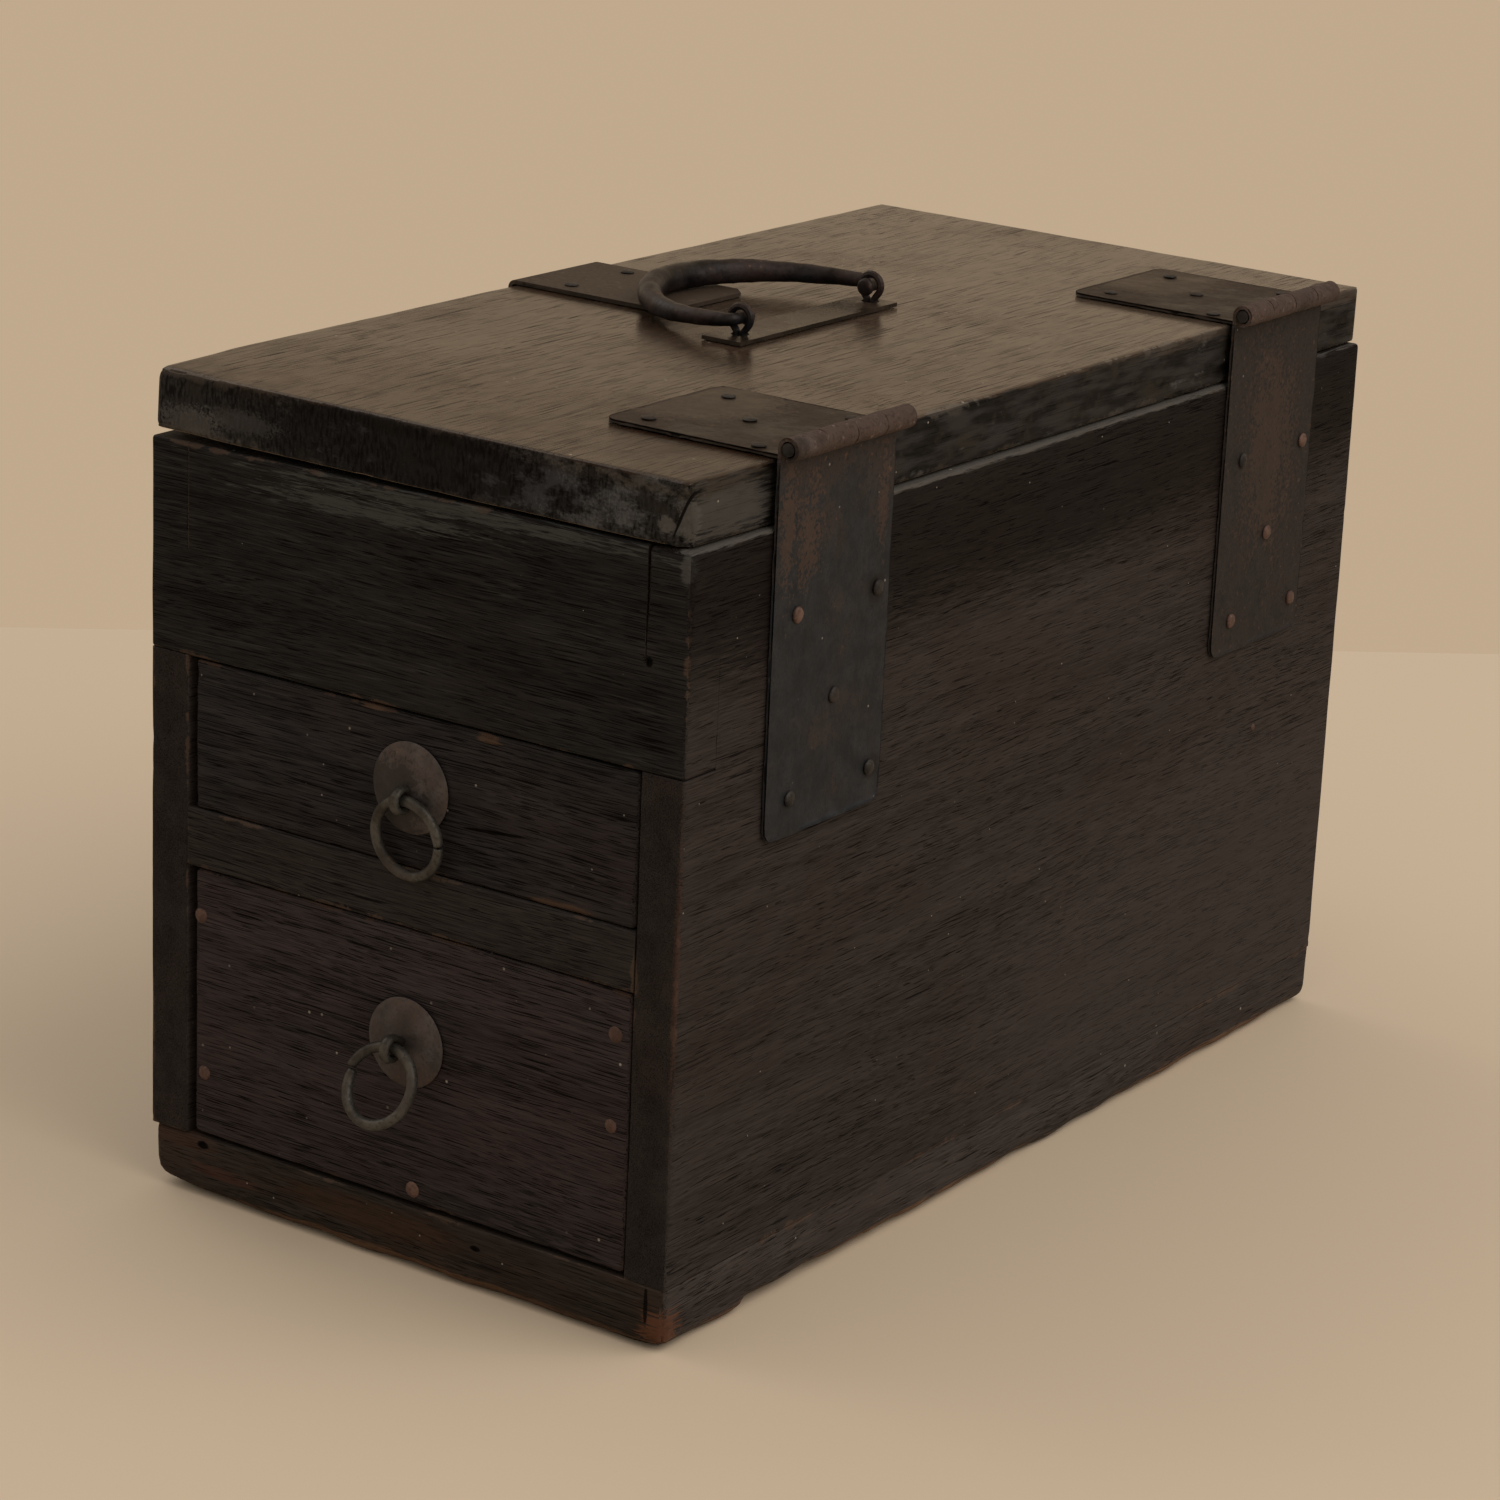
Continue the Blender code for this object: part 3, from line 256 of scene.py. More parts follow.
# how near a point lies to an edge of the board it is on: 1 at the edge, broken by noise
def makeEdgeGroup():
    tree, given, put = startGroup(
        "edgeWear", {"Vector": (0, 0, 0), "Low": (0, 0, 0), "High": (1, 1, 1), "Width": 0.002}, ["Wear", "Band"]
    )
    place = given["Vector"]
    fromLow = vectorMath(tree, "SUBTRACT", place, given["Low"])
    fromHigh = vectorMath(tree, "SUBTRACT", given["High"], place)
    x, y, z = splitAxes(tree, vectorMath(tree, "MINIMUM", fromLow, fromHigh))
    smaller = computed(tree, "MINIMUM", x, y)
    larger = computed(tree, "MAXIMUM", x, y)
    second = computed(tree, "MAXIMUM", smaller, computed(tree, "MINIMUM", larger, z))
    rough = noisy(tree, place, 160, 5.0, 0.65)
    broad = noisy(tree, place, 32, 2.0, shift=(1.3, 4.1, 2.2))
    chips = times(tree, ranged(tree, rough, 0.40, 0.62), ranged(tree, broad, 0.42, 0.64))
    width = times(tree, given["Width"], plus(tree, 0.04, times(tree, chips, 1.6)))
    feed(tree, put["Wear"], ranged(tree, second, times(tree, width, 0.4), width, 1.0, 0.0))
    feed(tree, put["Band"], ranged(tree, second, 0.0, times(tree, given["Width"], 7.0), 1.0, 0.0))
    return tree


# dust: pale specks and a thin grey film
def makeDustGroup():
    tree, given, put = startGroup("dust", {"Vector": (0, 0, 0)}, ["Specks", "Film"])
    place = given["Vector"]
    cells = tree.nodes.new("ShaderNodeTexVoronoi")
    feed(tree, cells.inputs["Vector"], place)
    cells.inputs["Scale"].default_value = 210.0
    chosen = tree.nodes.new("ShaderNodeSeparateColor")
    feed(tree, chosen.inputs[0], cells.outputs["Color"])
    some = ranged(tree, chosen.outputs[0], 0.60, 1.0)
    size = ranged(tree, chosen.outputs[1], 0.0, 1.0, 0.04, 0.12)
    dots = ranged(tree, cells.outputs["Distance"], times(tree, size, 0.5), size, 1.0, 0.0)
    feed(tree, put["Specks"], times(tree, dots, some))
    feed(tree, put["Film"], ranged(tree, noisy(tree, place, 26, 6.0, 0.7, (8.1, 3.3, 0.2)), 0.42, 0.75))
    return tree


# iron skin: brown rust areas, orange spots, pits and a broad mottle
def makeIronGroup():
    tree, given, put = startGroup(
        "ironSkin", {"Vector": (0, 0, 0), "Rust": 0.5}, ["Rust", "Spots", "Pits", "Mottle"]
    )
    place = given["Vector"]
    areas = noisy(tree, place, 55, 6.0, 0.65, (2.2, 0.3, 1.1))
    edge = minus(tree, 0.85, times(tree, given["Rust"], 0.7))
    feed(tree, put["Rust"], ranged(tree, areas, minus(tree, edge, 0.12), plus(tree, edge, 0.12)))
    feed(tree, put["Spots"], ranged(tree, noisy(tree, place, 420, 3.0, 0.6), 0.60, 0.72))
    feed(tree, put["Pits"], noisy(tree, place, 900, 3.0, 0.6, (0.5, 0.9, 0.1)))
    feed(tree, put["Mottle"], noisy(tree, place, 140, 4.0, 0.6, (4.4, 5.5, 6.6)))
    return tree


grainGroup = makeGrainGroup()
edgeGroup = makeEdgeGroup()
dustGroup = makeDustGroup()
ironGroup = makeIronGroup()
print("node groups made")


def startMaterial(name):
    material = bpy.data.materials.new(name)
    material.use_nodes = True
    tree = material.node_tree
    coordinates = tree.nodes.new("ShaderNodeTexCoord")
    return material, tree, tree.nodes["Principled BSDF"], coordinates.outputs["Object"]


def bumped(tree, height, distance, strength):
    node = tree.nodes.new("ShaderNodeBump")
    node.inputs["Distance"].default_value = distance
    node.inputs["Strength"].default_value = strength
    feed(tree, node.inputs["Height"], height)
    return node.outputs["Normal"]


patchRim = (0.9, 1.4)  # a patch fades between these, in half sizes from its middle


# a patch's share in its middle, 0 beyond its ragged rim
def patchMask(tree, place, rough, spot):
    centred = vectorMath(tree, "SUBTRACT", place, spot["place"])
    turned = mapped(tree, centred, rotation=spot.get("turn", (0, 0, 0)))
    distance = vectorMath(tree, "LENGTH", mapped(tree, turned, [1 / size for size in spot["size"]]))
    ragged = plus(tree, distance, times(tree, rough, spot["ragged"]))
    return ranged(tree, ragged, *patchRim, spot["share"], 0.0)


# the lid's edges below its top: dark and streaked, scuffed pale towards the hinge side
def addFlank(tree, place, flank, color, rough):
    axes = splitAxes(tree, place)
    x, z = axes[0], axes[2]
    wavy = times(tree, noisy(tree, place, 90, 4.0), 0.0024)
    below = ranged(tree, plus(tree, z, wavy), flank["start"], flank["end"], 1.0, 0.0)
    streaks = noisy(tree, place, (1100, 60, 330))
    edge = blended(tree, ranged(tree, streaks, 0.35, 0.65), flank["dark"], flank["mid"])
    stains = noisy(tree, place, 110, 5.0, 0.65, (0.4, 2.0, 1.3))
    edge = blended(tree, ranged(tree, stains, 0.48, 0.66, 0.0, 0.7), edge, flank["stain"])
    scuffs = noisy(tree, place, (90, 60, 170), 7.0, 0.72, (2.0, 0.4, 1.0))
    reach = ranged(tree, x, flank["scuffFrom"], flank["scuffTo"], 0.13, 0.0)
    turned = ranged(tree, x, flank["corner"], flank["corner"] + 0.002, 0.0, 0.19)
    scuffs = ranged(tree, minus(tree, minus(tree, scuffs, reach), turned), 0.44, 0.60, 0.0, 0.9)
    scuffs = times(tree, scuffs, plus(tree, 0.55, times(tree, streaks, 0.7)))
    color = blended(tree, below, color, blended(tree, scuffs, edge, flank["scuff"]))
    return color, plus(tree, rough, times(tree, below, flank["roughness"]))


grainTurns = {"X": (0, 0, 0), "Y": (0, 0, -math.pi / 2)}
seedShift = Vector((0.713, 0.291, 0.537))
woodDust = (0.30, 0.26, 0.21)
ironDust = (0.22, 0.19, 0.16)
caseWood = {
    "dark": (0.0095, 0.0074, 0.0060),
    "mid": (0.0330, 0.0256, 0.0208),
    "red": (0.0300, 0.0170, 0.0132),
    "grey": (0.0420, 0.0370, 0.0320),
    "worn": (0.0700, 0.0460, 0.0320),
    "pore": (0.0025, 0.0019, 0.0016),
    "pale": (0.052, 0.047, 0.041),
    "paleShare": 0.30,
    "redShare": 0.35,
    "greyShare": 0.45,
    "bandShare": 0.25,
    "wearWidth": 0.0014,
    "wearShare": 0.7,
    "poreLength": 1.0,
    "poreShare": 0.58,
    "roughness": 0.52,
    "specular": 0.03,
    "relief": 0.00035,
    "flank": None,
    "patches": (),
}


# old stained board: the grain runs along one axis, the edges are rubbed through
def makeWood(name, grain, seed, low, high, changes=None, untilt=None):
    settings = {**caseWood, **(changes or {})}
    material, tree, shader, place = startMaterial(name)
    if untilt:
        place = mapped(tree, place, (1, 1, 1), untilt["location"], untilt["rotation"])
    along = mapped(tree, place, (1, 1, 1), seedShift * seed, grainTurns[grain])
    pores = {"Pore Length": settings["poreLength"], "Pore Share": settings["poreShare"]}
    wood = useGroup(tree, grainGroup, {"Vector": along, **pores})
    limits = {"Low": low, "High": high, "Width": settings["wearWidth"]}
    edges = useGroup(tree, edgeGroup, {"Vector": place, **limits})
    dust = useGroup(tree, dustGroup, {"Vector": along})
    fibres = ranged(tree, wood["Fibres"], 0.34, 0.66, 0.0, 0.55)
    tone = plus(tree, times(tree, wood["Figure"], 0.45), fibres)
    color = blended(tree, tone, settings["dark"], settings["mid"])
    layers = (
        ("red", ranged(tree, wood["Blotches"], 0.40, 0.66, 0.0, settings["redShare"])),
        ("grey", times(tree, dust["Film"], times(tree, wood["Fibres"], settings["greyShare"]))),
        # pale glints: raised fibres, partly a painted highlight
        ("pale", times(tree, wood["Glints"], settings["paleShare"])),
        ("pore", times(tree, wood["Pores"], 0.9)),
        ("grey", times(tree, edges["Band"], times(tree, wood["Fibres"], settings["bandShare"]))),
    )
    for layer, mask in layers:
        color = blended(tree, mask, color, settings[layer])
    rough = plus(tree, settings["roughness"], times(tree, dust["Film"], 0.16))
    if settings["flank"]:
        color, rough = addFlank(tree, place, settings["flank"], color, rough)
    color = blended(tree, times(tree, edges["Wear"], settings["wearShare"]), color, settings["worn"])
    if settings["patches"]:
        ragged = minus(tree, noisy(tree, along, (90, 1300, 1300), 5.0, 0.7), 0.45)
    for spot in settings["patches"]:
        mask = patchMask(tree, place, ragged, spot)
        color = blended(tree, mask, color, spot["color"], spot.get("mode", "MIX"))
        if "dull" in spot:
            rough = plus(tree, rough, times(tree, mask, spot["dull"]))
    color = blended(tree, times(tree, dust["Specks"], 0.8), color, woodDust)
    feed(tree, shader.inputs["Base Color"], color)
    rough = plus(tree, rough, times(tree, edges["Wear"], 0.14))
    feed(tree, shader.inputs["Roughness"], plus(tree, rough, times(tree, wood["Pores"], 0.6)))
    shader.inputs["Specular IOR Level"].default_value = settings["specular"]
    height = plus(tree, times(tree, wood["Fibres"], 0.25), times(tree, wood["Figure"], 0.25))
    height = minus(tree, height, times(tree, wood["Pores"], 0.8))
    feed(tree, shader.inputs["Normal"], bumped(tree, height, settings["relief"], 0.7))
    return material


streak = (0.064, 0.036, 0.023)
# painted shade: the dark hollows of dents round two strap nails
dentShade = (0.007, 0.006, 0.006)
# painted reflection: the pale room seen in the waxed iron of the leaves
tan = (0.085, 0.062, 0.044)
# painted shade on the lower left of each domed disc
discShade = (0.020, 0.0168, 0.0155)
discMiddles = [sum(cornersOf(prefix + "_pull_plate"), Vector()) / 2 for prefix in ("upper", "lower")]
ironDefaults = {
    "rise": (1.0, 2.0),  # iron is rustier above a level: start and end of that, here above the box
    "specular": 0.22,
    "relief": 0.0003,
    "specks": 0.0,
    "patches": (),
}
ironColumns = ("dark", "pale", "rust", "spot", "share", "metal", "roughness")


def ironLook(*row, **more):
    return {**ironDefaults, **dict(zip(ironColumns, row)), **more}


ironLooks = {
    "strap": ironLook(
        (0.0088, 0.0108, 0.0136), (0.0208, 0.0222, 0.0252), (0.0330, 0.0215, 0.0160), (0.110, 0.055, 0.028),
        0.34, 0.30, 0.54, rise=(0.196, 0.238), specks=0.8,
        patches=(
            patch(92, -137, 217, (5, 3, 18), streak, 0.55, 6.0),
            patch(92, -127, 215, (5, 5, 14), streak, 0.55, 6.0),
            patch(92, -93, 220, (5, 2, 14), streak, 0.4, 6.0),
            # painted shade in the dents round two nails
            patch(92, -94.6, 192, (5, 3.6, 4.2), dentShade, 0.8, 2.0),
            patch(92, -93, 143, (5, 3.4, 3.6), dentShade, 0.6, 2.0),
        ),
    ),
    "rearStrap": ironLook(
        (0.0086, 0.0088, 0.0098), (0.0178, 0.0162, 0.0162), (0.0232, 0.0162, 0.0124), (0.085, 0.048, 0.028),
        0.60, 0.25, 0.56, rise=(0.200, 0.240), specks=0.6,
        patches=(patch(92, 119, 195, (5, 14, 30), streak, 0.35, 5.0),),
    ),
    "leaf": ironLook(
        (0.0095, 0.0072, 0.0055), (0.0290, 0.0225, 0.0170), (0.0290, 0.0180, 0.0120), (0.110, 0.065, 0.040),
        0.52, 0.30, 0.38, rise=(0.2365, 0.2385), specular=0.14,
        # tan patches: painted reflection of the pale room in the waxed leaves
        patches=(
            patch(42, -104, 236, (18, 22, 4), tan, 0.4, 1.6),
            patch(42, 132, 236, (18, 22, 4), tan, 0.35, 1.6),
            patch(-40, 10, 236, (80, 60, 4), tan, 0.30, 3.0),
        ),
    ),
    "plate": ironLook(
        (0.0080, 0.0054, 0.0036), (0.0260, 0.0180, 0.0120), (0.0270, 0.0165, 0.0105), (0.090, 0.055, 0.034),
        0.45, 0.15, 0.20, specular=0.35,
    ),
    "bail": ironLook(
        (0.0060, 0.0056, 0.0060), (0.0250, 0.0240, 0.0265), (0.0300, 0.0160, 0.0120), (0.125, 0.064, 0.032),
        0.50, 0.60, 0.34,
    ),
    "barrel": ironLook(
        (0.020, 0.0135, 0.0108), (0.074, 0.053, 0.043), (0.064, 0.039, 0.028), (0.190, 0.130, 0.105),
        0.62, 0.12, 0.66, relief=0.0008,
    ),
    "ring": ironLook(
        (0.026, 0.024, 0.021), (0.090, 0.085, 0.074), (0.048, 0.036, 0.026), (0.140, 0.088, 0.054),
        0.36, 0.55, 0.42,
    ),
    "disc": ironLook(
        (0.038, 0.032, 0.029), (0.092, 0.080, 0.073), (0.068, 0.045, 0.035), (0.130, 0.080, 0.050),
        0.46, 0.30, 0.50,
        # painted shade on the lower left of each disc, stronger on the upper one
        patches=[
            {**patch(0, 0, 0, (11, 10, 12), discShade, share, 3.0), "place": middle + Vector((-0.006, 0, -0.004))}
            for middle, share in zip(discMiddles, (0.75, 0.25))
        ],
    ),
    "copper": ironLook(
        (0.042, 0.025, 0.019), (0.150, 0.086, 0.064), (0.080, 0.042, 0.030), (0.220, 0.130, 0.100),
        0.45, 0.30, 0.55,
    ),
    "darkNail": ironLook(
        (0.0120, 0.0108, 0.0105), (0.050, 0.045, 0.040), (0.034, 0.022, 0.017), (0.090, 0.070, 0.055),
        0.40, 0.40, 0.50,
    ),
}


def makeIron(look):
    settings = ironLooks[look]
    material, tree, shader, place = startMaterial(look + "Iron")
    height = splitAxes(tree, place)[2]
    share = ranged(tree, height, *settings["rise"], settings["share"], settings["share"] + 0.35)
    skin = useGroup(tree, ironGroup, {"Vector": place, "Rust": share})
    color = blended(tree, ranged(tree, skin["Mottle"], 0.30, 0.72), settings["dark"], settings["pale"])
    layers = (
        ("rust", times(tree, skin["Rust"], 0.8)),
        ("spot", times(tree, skin["Spots"], times(tree, skin["Rust"], 0.55))),
        ("dark", ranged(tree, skin["Pits"], 0.50, 0.68, 0.0, 0.65)),
    )
    for layer, mask in layers:
        color = blended(tree, mask, color, settings[layer])
    ragged = plus(tree, times(tree, skin["Pits"], 0.7), times(tree, skin["Mottle"], 0.5))
    ragged = minus(tree, ragged, 0.55)
    for spot in settings["patches"]:
        color = blended(tree, patchMask(tree, place, ragged, spot), color, spot["color"])
    dust = useGroup(tree, dustGroup, {"Vector": place})
    color = blended(tree, times(tree, dust["Specks"], settings["specks"]), color, ironDust)
    feed(tree, shader.inputs["Base Color"], color)
    metal = ranged(tree, skin["Rust"], 0.0, 1.0, settings["metal"], settings["metal"] * 0.3)
    feed(tree, shader.inputs["Metallic"], metal)
    rough = plus(tree, settings["roughness"], times(tree, skin["Rust"], 0.18))
    feed(tree, shader.inputs["Roughness"], plus(tree, rough, times(tree, skin["Pits"], 0.1)))
    shader.inputs["Specular IOR Level"].default_value = settings["specular"]
    relief = plus(tree, times(tree, skin["Pits"], 0.6), skin["Mottle"])
    relief = plus(tree, relief, times(tree, skin["Rust"], 0.5))
    feed(tree, shader.inputs["Normal"], bumped(tree, relief, settings["relief"], 0.55))
    return material


irons = {look: makeIron(look) for look in ironLooks}
print("iron finishes made")


# recalculated normals can still point inwards on a worn shape, so each shell is tested by its volume
def faceOutwards(bm):
    bmesh.ops.recalc_face_normals(bm, faces=bm.faces[:])
    seen = set()
    for first in bm.faces:
        if first in seen:
            continue
        seen.add(first)
        shell = [first]
        for face in shell:
            around = (other for edge in face.edges for other in edge.link_faces)
            near = list(dict.fromkeys(other for other in around if other not in seen))
            seen.update(near)
            shell.extend(near)
        volume = sum(face.calc_center_median().dot(face.normal) * face.calc_area() for face in shell)
        if volume < 0:
            bmesh.ops.reverse_faces(bm, faces=shell)
    bm.normal_update()


# others: further materials, each with a test that picks its faces
def finishPiece(name, bm, material, body, nodes=(), others=()):
    faceOutwards(bm)
    mesh = bpy.data.meshes.new(name)
    mesh.materials.append(material)
    for index, (chosen, other) in enumerate(others, 1):
        mesh.materials.append(other)
        for face in bm.faces:
            if chosen(face):
                face.material_index = index
    bm.to_mesh(mesh)
    bm.free()
    mesh.shade_smooth()
    piece = bpy.data.objects.new(name, mesh)
    scene.collection.objects.link(piece)
    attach(piece, body)
    if nodes:
        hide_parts(*nodes)


facing = 0.75  # how squarely a face has to look along an axis


# a test for faces that look along an axis, above a level where one is given
def looking(axis, sign, above=-1.0):
    return lambda face: sign * face.normal[axis] > facing and face.calc_center_median().z > above


planeAxes = {"YZ": (1, 2, 0), "XZ": (0, 2, 1), "XY": (0, 1, 2)}
edgeSteps = (0.0, 0.0004, 0.0009, 0.0015, 0.0023, 0.0034, 0.0050)


# rows of vertices along one axis: close together at ends and stops, a step apart between them
def rowPlaces(stops, step):
    places = set()
    stops = sorted(set(round(stop, 6) for stop in stops))
    for start, end in zip(stops, stops[1:]):
        for offset in edgeSteps:
            if offset < (end - start) / 2:
                places.update((round(start + offset, 6), round(end - offset, 6)))
        inner = end - start - 2 * edgeSteps[-1]
        count = max(1, round(inner / step))
        if inner > step:
            for index in range(1, count):
                places.add(round(start + edgeSteps[-1] + inner * index / count, 6))
    places.add(stops[-1])
    return sorted(places)


def insideOutline(point, outline):
    inside = False
    for first, second in zip(outline, outline[1:] + outline[:1]):
        if (first[1] > point[1]) != (second[1] > point[1]):
            cross = first[0] + (point[1] - first[1]) / (second[1] - first[1]) * (second[0] - first[0])
            inside = inside != (point[0] < cross)
    return inside


# a grid of unit size whose vertices know their column and row
def startGrid(columns, rows):
    bm = bmesh.new()
    column, row = (bm.verts.layers.int.new(name) for name in ("column", "row"))
    bmesh.ops.create_grid(bm, x_segments=columns - 1, y_segments=rows - 1, size=0.5)
    for vert in bm.verts:
        vert[column] = round((vert.co.x + 0.5) * (columns - 1))
        vert[row] = round((vert.co.y + 0.5) * (rows - 1))
    return bm, column, row


# all faces of a flat mesh are extruded; the new vertices are given back
def thicken(bm):
    made = bmesh.ops.extrude_face_region(bm, geom=bm.faces[:], use_keep_orig=True)["geom"]
    return [item for item in made if isinstance(item, bmesh.types.BMVert)]


# a slab of dense rows inside the outline, one unit thick, cut into layers
def gridSlab(outline, placesA, placesB, layers):
    bm, column, row = startGrid(len(placesA), len(placesB))
    for vert in bm.verts:
        vert.co = (placesA[vert[column]], placesB[vert[row]], 0.0)
    outside = [face for face in bm.faces if not insideOutline(face.calc_center_median(), outline)]
    bmesh.ops.delete(bm, geom=outside, context="FACES")
    bmesh.ops.translate(bm, vec=(0, 0, 1), verts=thicken(bm))
    uprights = [edge for edge in bm.edges if abs(edge.verts[0].co.z - edge.verts[1].co.z) > 0.5]
    bmesh.ops.subdivide_edges(bm, edges=uprights, cuts=layers - 2, use_grid_fill=True)
    return bm


boardDefaults = {
    "step": 0.003,
    "radius": (0.0008, 0.0008, 0.0008),  # rims of the low face and the high face, upright corners
    "nicks": 0.0007,
    "sway": 0.00002,
    "scoops": (),  # bites out of the board: place, radius
    "rubbed": (),  # rounder stretches of edge: place, reach, added radius
    "facets": (),  # flats worn off: a point on the flat, its outward direction
    "tight": (),  # sides of the outline that meet another board and stay sharp
    "stopsA": (),  # further close rows along the outline's axes
    "stopsB": (),
}
wearNoise = {"wave": 55.0, "sway": 14.0, "scoop": 400.0}
waveLeast, waveSwing = 0.55, 0.45  # shares of an edge's radius
scoopRough = 0.12
# scale, shift, level and gain: only the peaks of the first noise bite, and only where the second is high
nickNoise = (
    (260.0, Vector((3, 1, 7)), 0.28, 2.2),
    (38.0, Vector((9, 2, 4)), -0.25, 1.6),
)
edgeReach = 0.012  # wear never draws in a point further from an edge
tightWear = 0.01
tiny = 1e-6


# sides of an outline as start, direction, inward normal, length and share of wear
def outlineSides(outline, tight):
    pairs = list(zip(outline, outline[1:] + outline[:1]))
    turn = sum(p[0] * q[1] - q[0] * p[1] for p, q in pairs)
    sides = []
    for index, (start, end) in enumerate(pairs):
        along = Vector(end) - Vector(start)
        length = along.length
        along.normalize()
        inward = Vector((-along.y, along.x)) * (1 if turn > 0 else -1)
        sides.append((Vector(start), along, inward, length, tightWear if index in tight else 1.0))
    return sides


# faces near a point as distance, outward direction, kind (0 outline, -1 low, 1 high) and share of wear
def nearFaces(spot, low, high, axes, sides):
    a, b, c = axes
    near = []
    for start, along, inward, length, wear in sides:
        offset = Vector((spot[a], spot[b])) - start
        distance = offset.dot(inward)
        if -tiny <= distance < edgeReach and -tiny <= offset.dot(along) <= length + tiny:
            outward = Vector((0, 0, 0))
            outward[a], outward[b] = -inward.x, -inward.y
            near.append((distance, outward, 0, wear))
    for distance, sign in ((spot[c] - low[c], -1), (high[c] - spot[c], 1)):
        if distance < edgeReach:
            outward = Vector((0, 0, 0))
            outward[c] = sign
            near.append((distance, outward, sign, 1.0))
    return near


# how far the round of each pair of faces that meet near a point draws it in
def edgeShift(spot, near, settings):
    shift = Vector((0, 0, 0))
    if len(near) < 2:
        return shift
    lowRadius, highRadius, cornerRadius = settings["radius"]
    wave = waveLeast + waveSwing * (noise.noise(spot * wearNoise["wave"]) + 1)
    bite = 1.0
    for scale, offset, level, gain in nickNoise:
        bite *= max(0.0, noise.noise(spot * scale + offset) - level) * gain
    extra = settings["nicks"] * bite
    for place, size, added in settings["rubbed"]:
        extra += added * max(0.0, 1 - (spot - Vector(place)).length / size)
    for index, (first, firstOut, firstKind, firstWear) in enumerate(near):
        for second, secondOut, secondKind, secondWear in near[index + 1:]:
            if firstOut.dot(secondOut) < -0.5:  # opposite faces share no edge
                continue
            kind = firstKind + secondKind
            base = cornerRadius if kind == 0 else (lowRadius if kind < 0 else highRadius)
            radius = (base * wave + extra) * min(firstWear, secondWear)
            reach = math.hypot(max(0.0, radius - first), max(0.0, radius - second))
            if first < radius and second < radius and reach > radius:
                pull = (reach - radius) / reach
                shift -= firstOut * (radius - first) * pull + secondOut * (radius - second) * pull
    return shift


# a slab drawn as an outline in one plane: dense rows, edges worn round unevenly, dents scooped out
def makeSlab(low, high, plane, outline=None, changes=None):
    settings = {**boardDefaults, **(changes or {})}
    a, b, c = planeAxes[plane]
    if not outline:
        outline = [(low[a], low[b]), (high[a], low[b]), (high[a], high[b]), (low[a], high[b])]
    placesA = rowPlaces([point[0] for point in outline] + list(settings["stopsA"]), settings["step"])
    placesB = rowPlaces([point[1] for point in outline] + list(settings["stopsB"]), settings["step"])
    placesC = rowPlaces([low[c], high[c]], settings["step"])
    bm = gridSlab(outline, placesA, placesB, len(placesC))
    sides = outlineSides(outline, settings["tight"])
    for vert in bm.verts:
        spot = Vector((0, 0, 0))
        depth = placesC[round(vert.co.z * (len(placesC) - 1))]
        spot[a], spot[b], spot[c] = vert.co.x, vert.co.y, depth
        shift = edgeShift(spot, nearFaces(spot, low, high, (a, b, c), sides), settings)
        swell = settings["sway"] * (noise.noise(spot * wearNoise["sway"]) + 1)
        if depth - low[c] < tiny:
            shift[c] += swell
        elif high[c] - depth < tiny:
            shift[c] -= swell
        spot += shift
        for point, direction in settings["facets"]:
            outward = Vector(direction).normalized()
            spot -= outward * max(0.0, (spot - Vector(point)).dot(outward))
        for place, size in settings["scoops"]:
            away = spot - Vector(place)
            size *= 1 + scoopRough * noise.noise(spot * wearNoise["scoop"])
            if away.length < size:
                spot = Vector(place) + away.normalized() * size
        vert.co = spot
    return bm


# bare wood inside the compartment and the drawers
innerWood = {
    "dark": (0.060, 0.042, 0.028), "mid": (0.150, 0.105, 0.066), "red": (0.160, 0.100, 0.060), "redShare": 0.3,
    "grey": (0.200, 0.170, 0.130), "greyShare": 0.4, "worn": (0.200, 0.150, 0.100), "pore": (0.040, 0.026, 0.018),
    "poreShare": 0.45, "roughness": 0.62, "specular": 0.30,
}
bareSides = makeWood("bareSideWood", "Y", 11.0, leftLow, rightHigh, innerWood)
bareEnds = makeWood("bareEndWood", "X", 12.0, leftLow, rightHigh, innerWood)

# painted shade: the dark inside of nail holes and of cracks, painted near black
holeShade = (0.001, 0.0008, 0.0007)
crackShade = (0.002, 0.0015, 0.0012)
scraped = (0.060, 0.060, 0.052)
cornerScuff = patch(88.4, frontFace, 213, (1.8, 4, 3.6), (0.075, 0.070, 0.060), 0.6, 2.4)
# the front board is painted darker than the side wood: partly its own tone, partly painted shade of the front of
# the box
frontWood = {
    "redShare": 0.15, "greyShare": 0.40, "dark": (0.0040, 0.0035, 0.0033), "mid": (0.0222, 0.0200, 0.0182),
    "red": (0.0240, 0.0165, 0.0140), "grey": (0.0340, 0.0320, 0.0285),
    "patches": (
        patch(-14, frontFace, 209.5, (34, 4, 2.6), scraped, 0.6, 6.0),
        patch(20, frontFace, 214.6, (60, 4, 2), scraped, 0.6, 6.0),
        # painted shade in a nail hole
        patch(77.8, frontFace, 187.1, (1.1, 4, 1.2), holeShade, 0.95),
        cornerScuff,
    ),
}
frontFinish = makeWood("frontWood", "X", 3.0, frontLow, frontHigh, frontWood)  # also on the sides' fingers

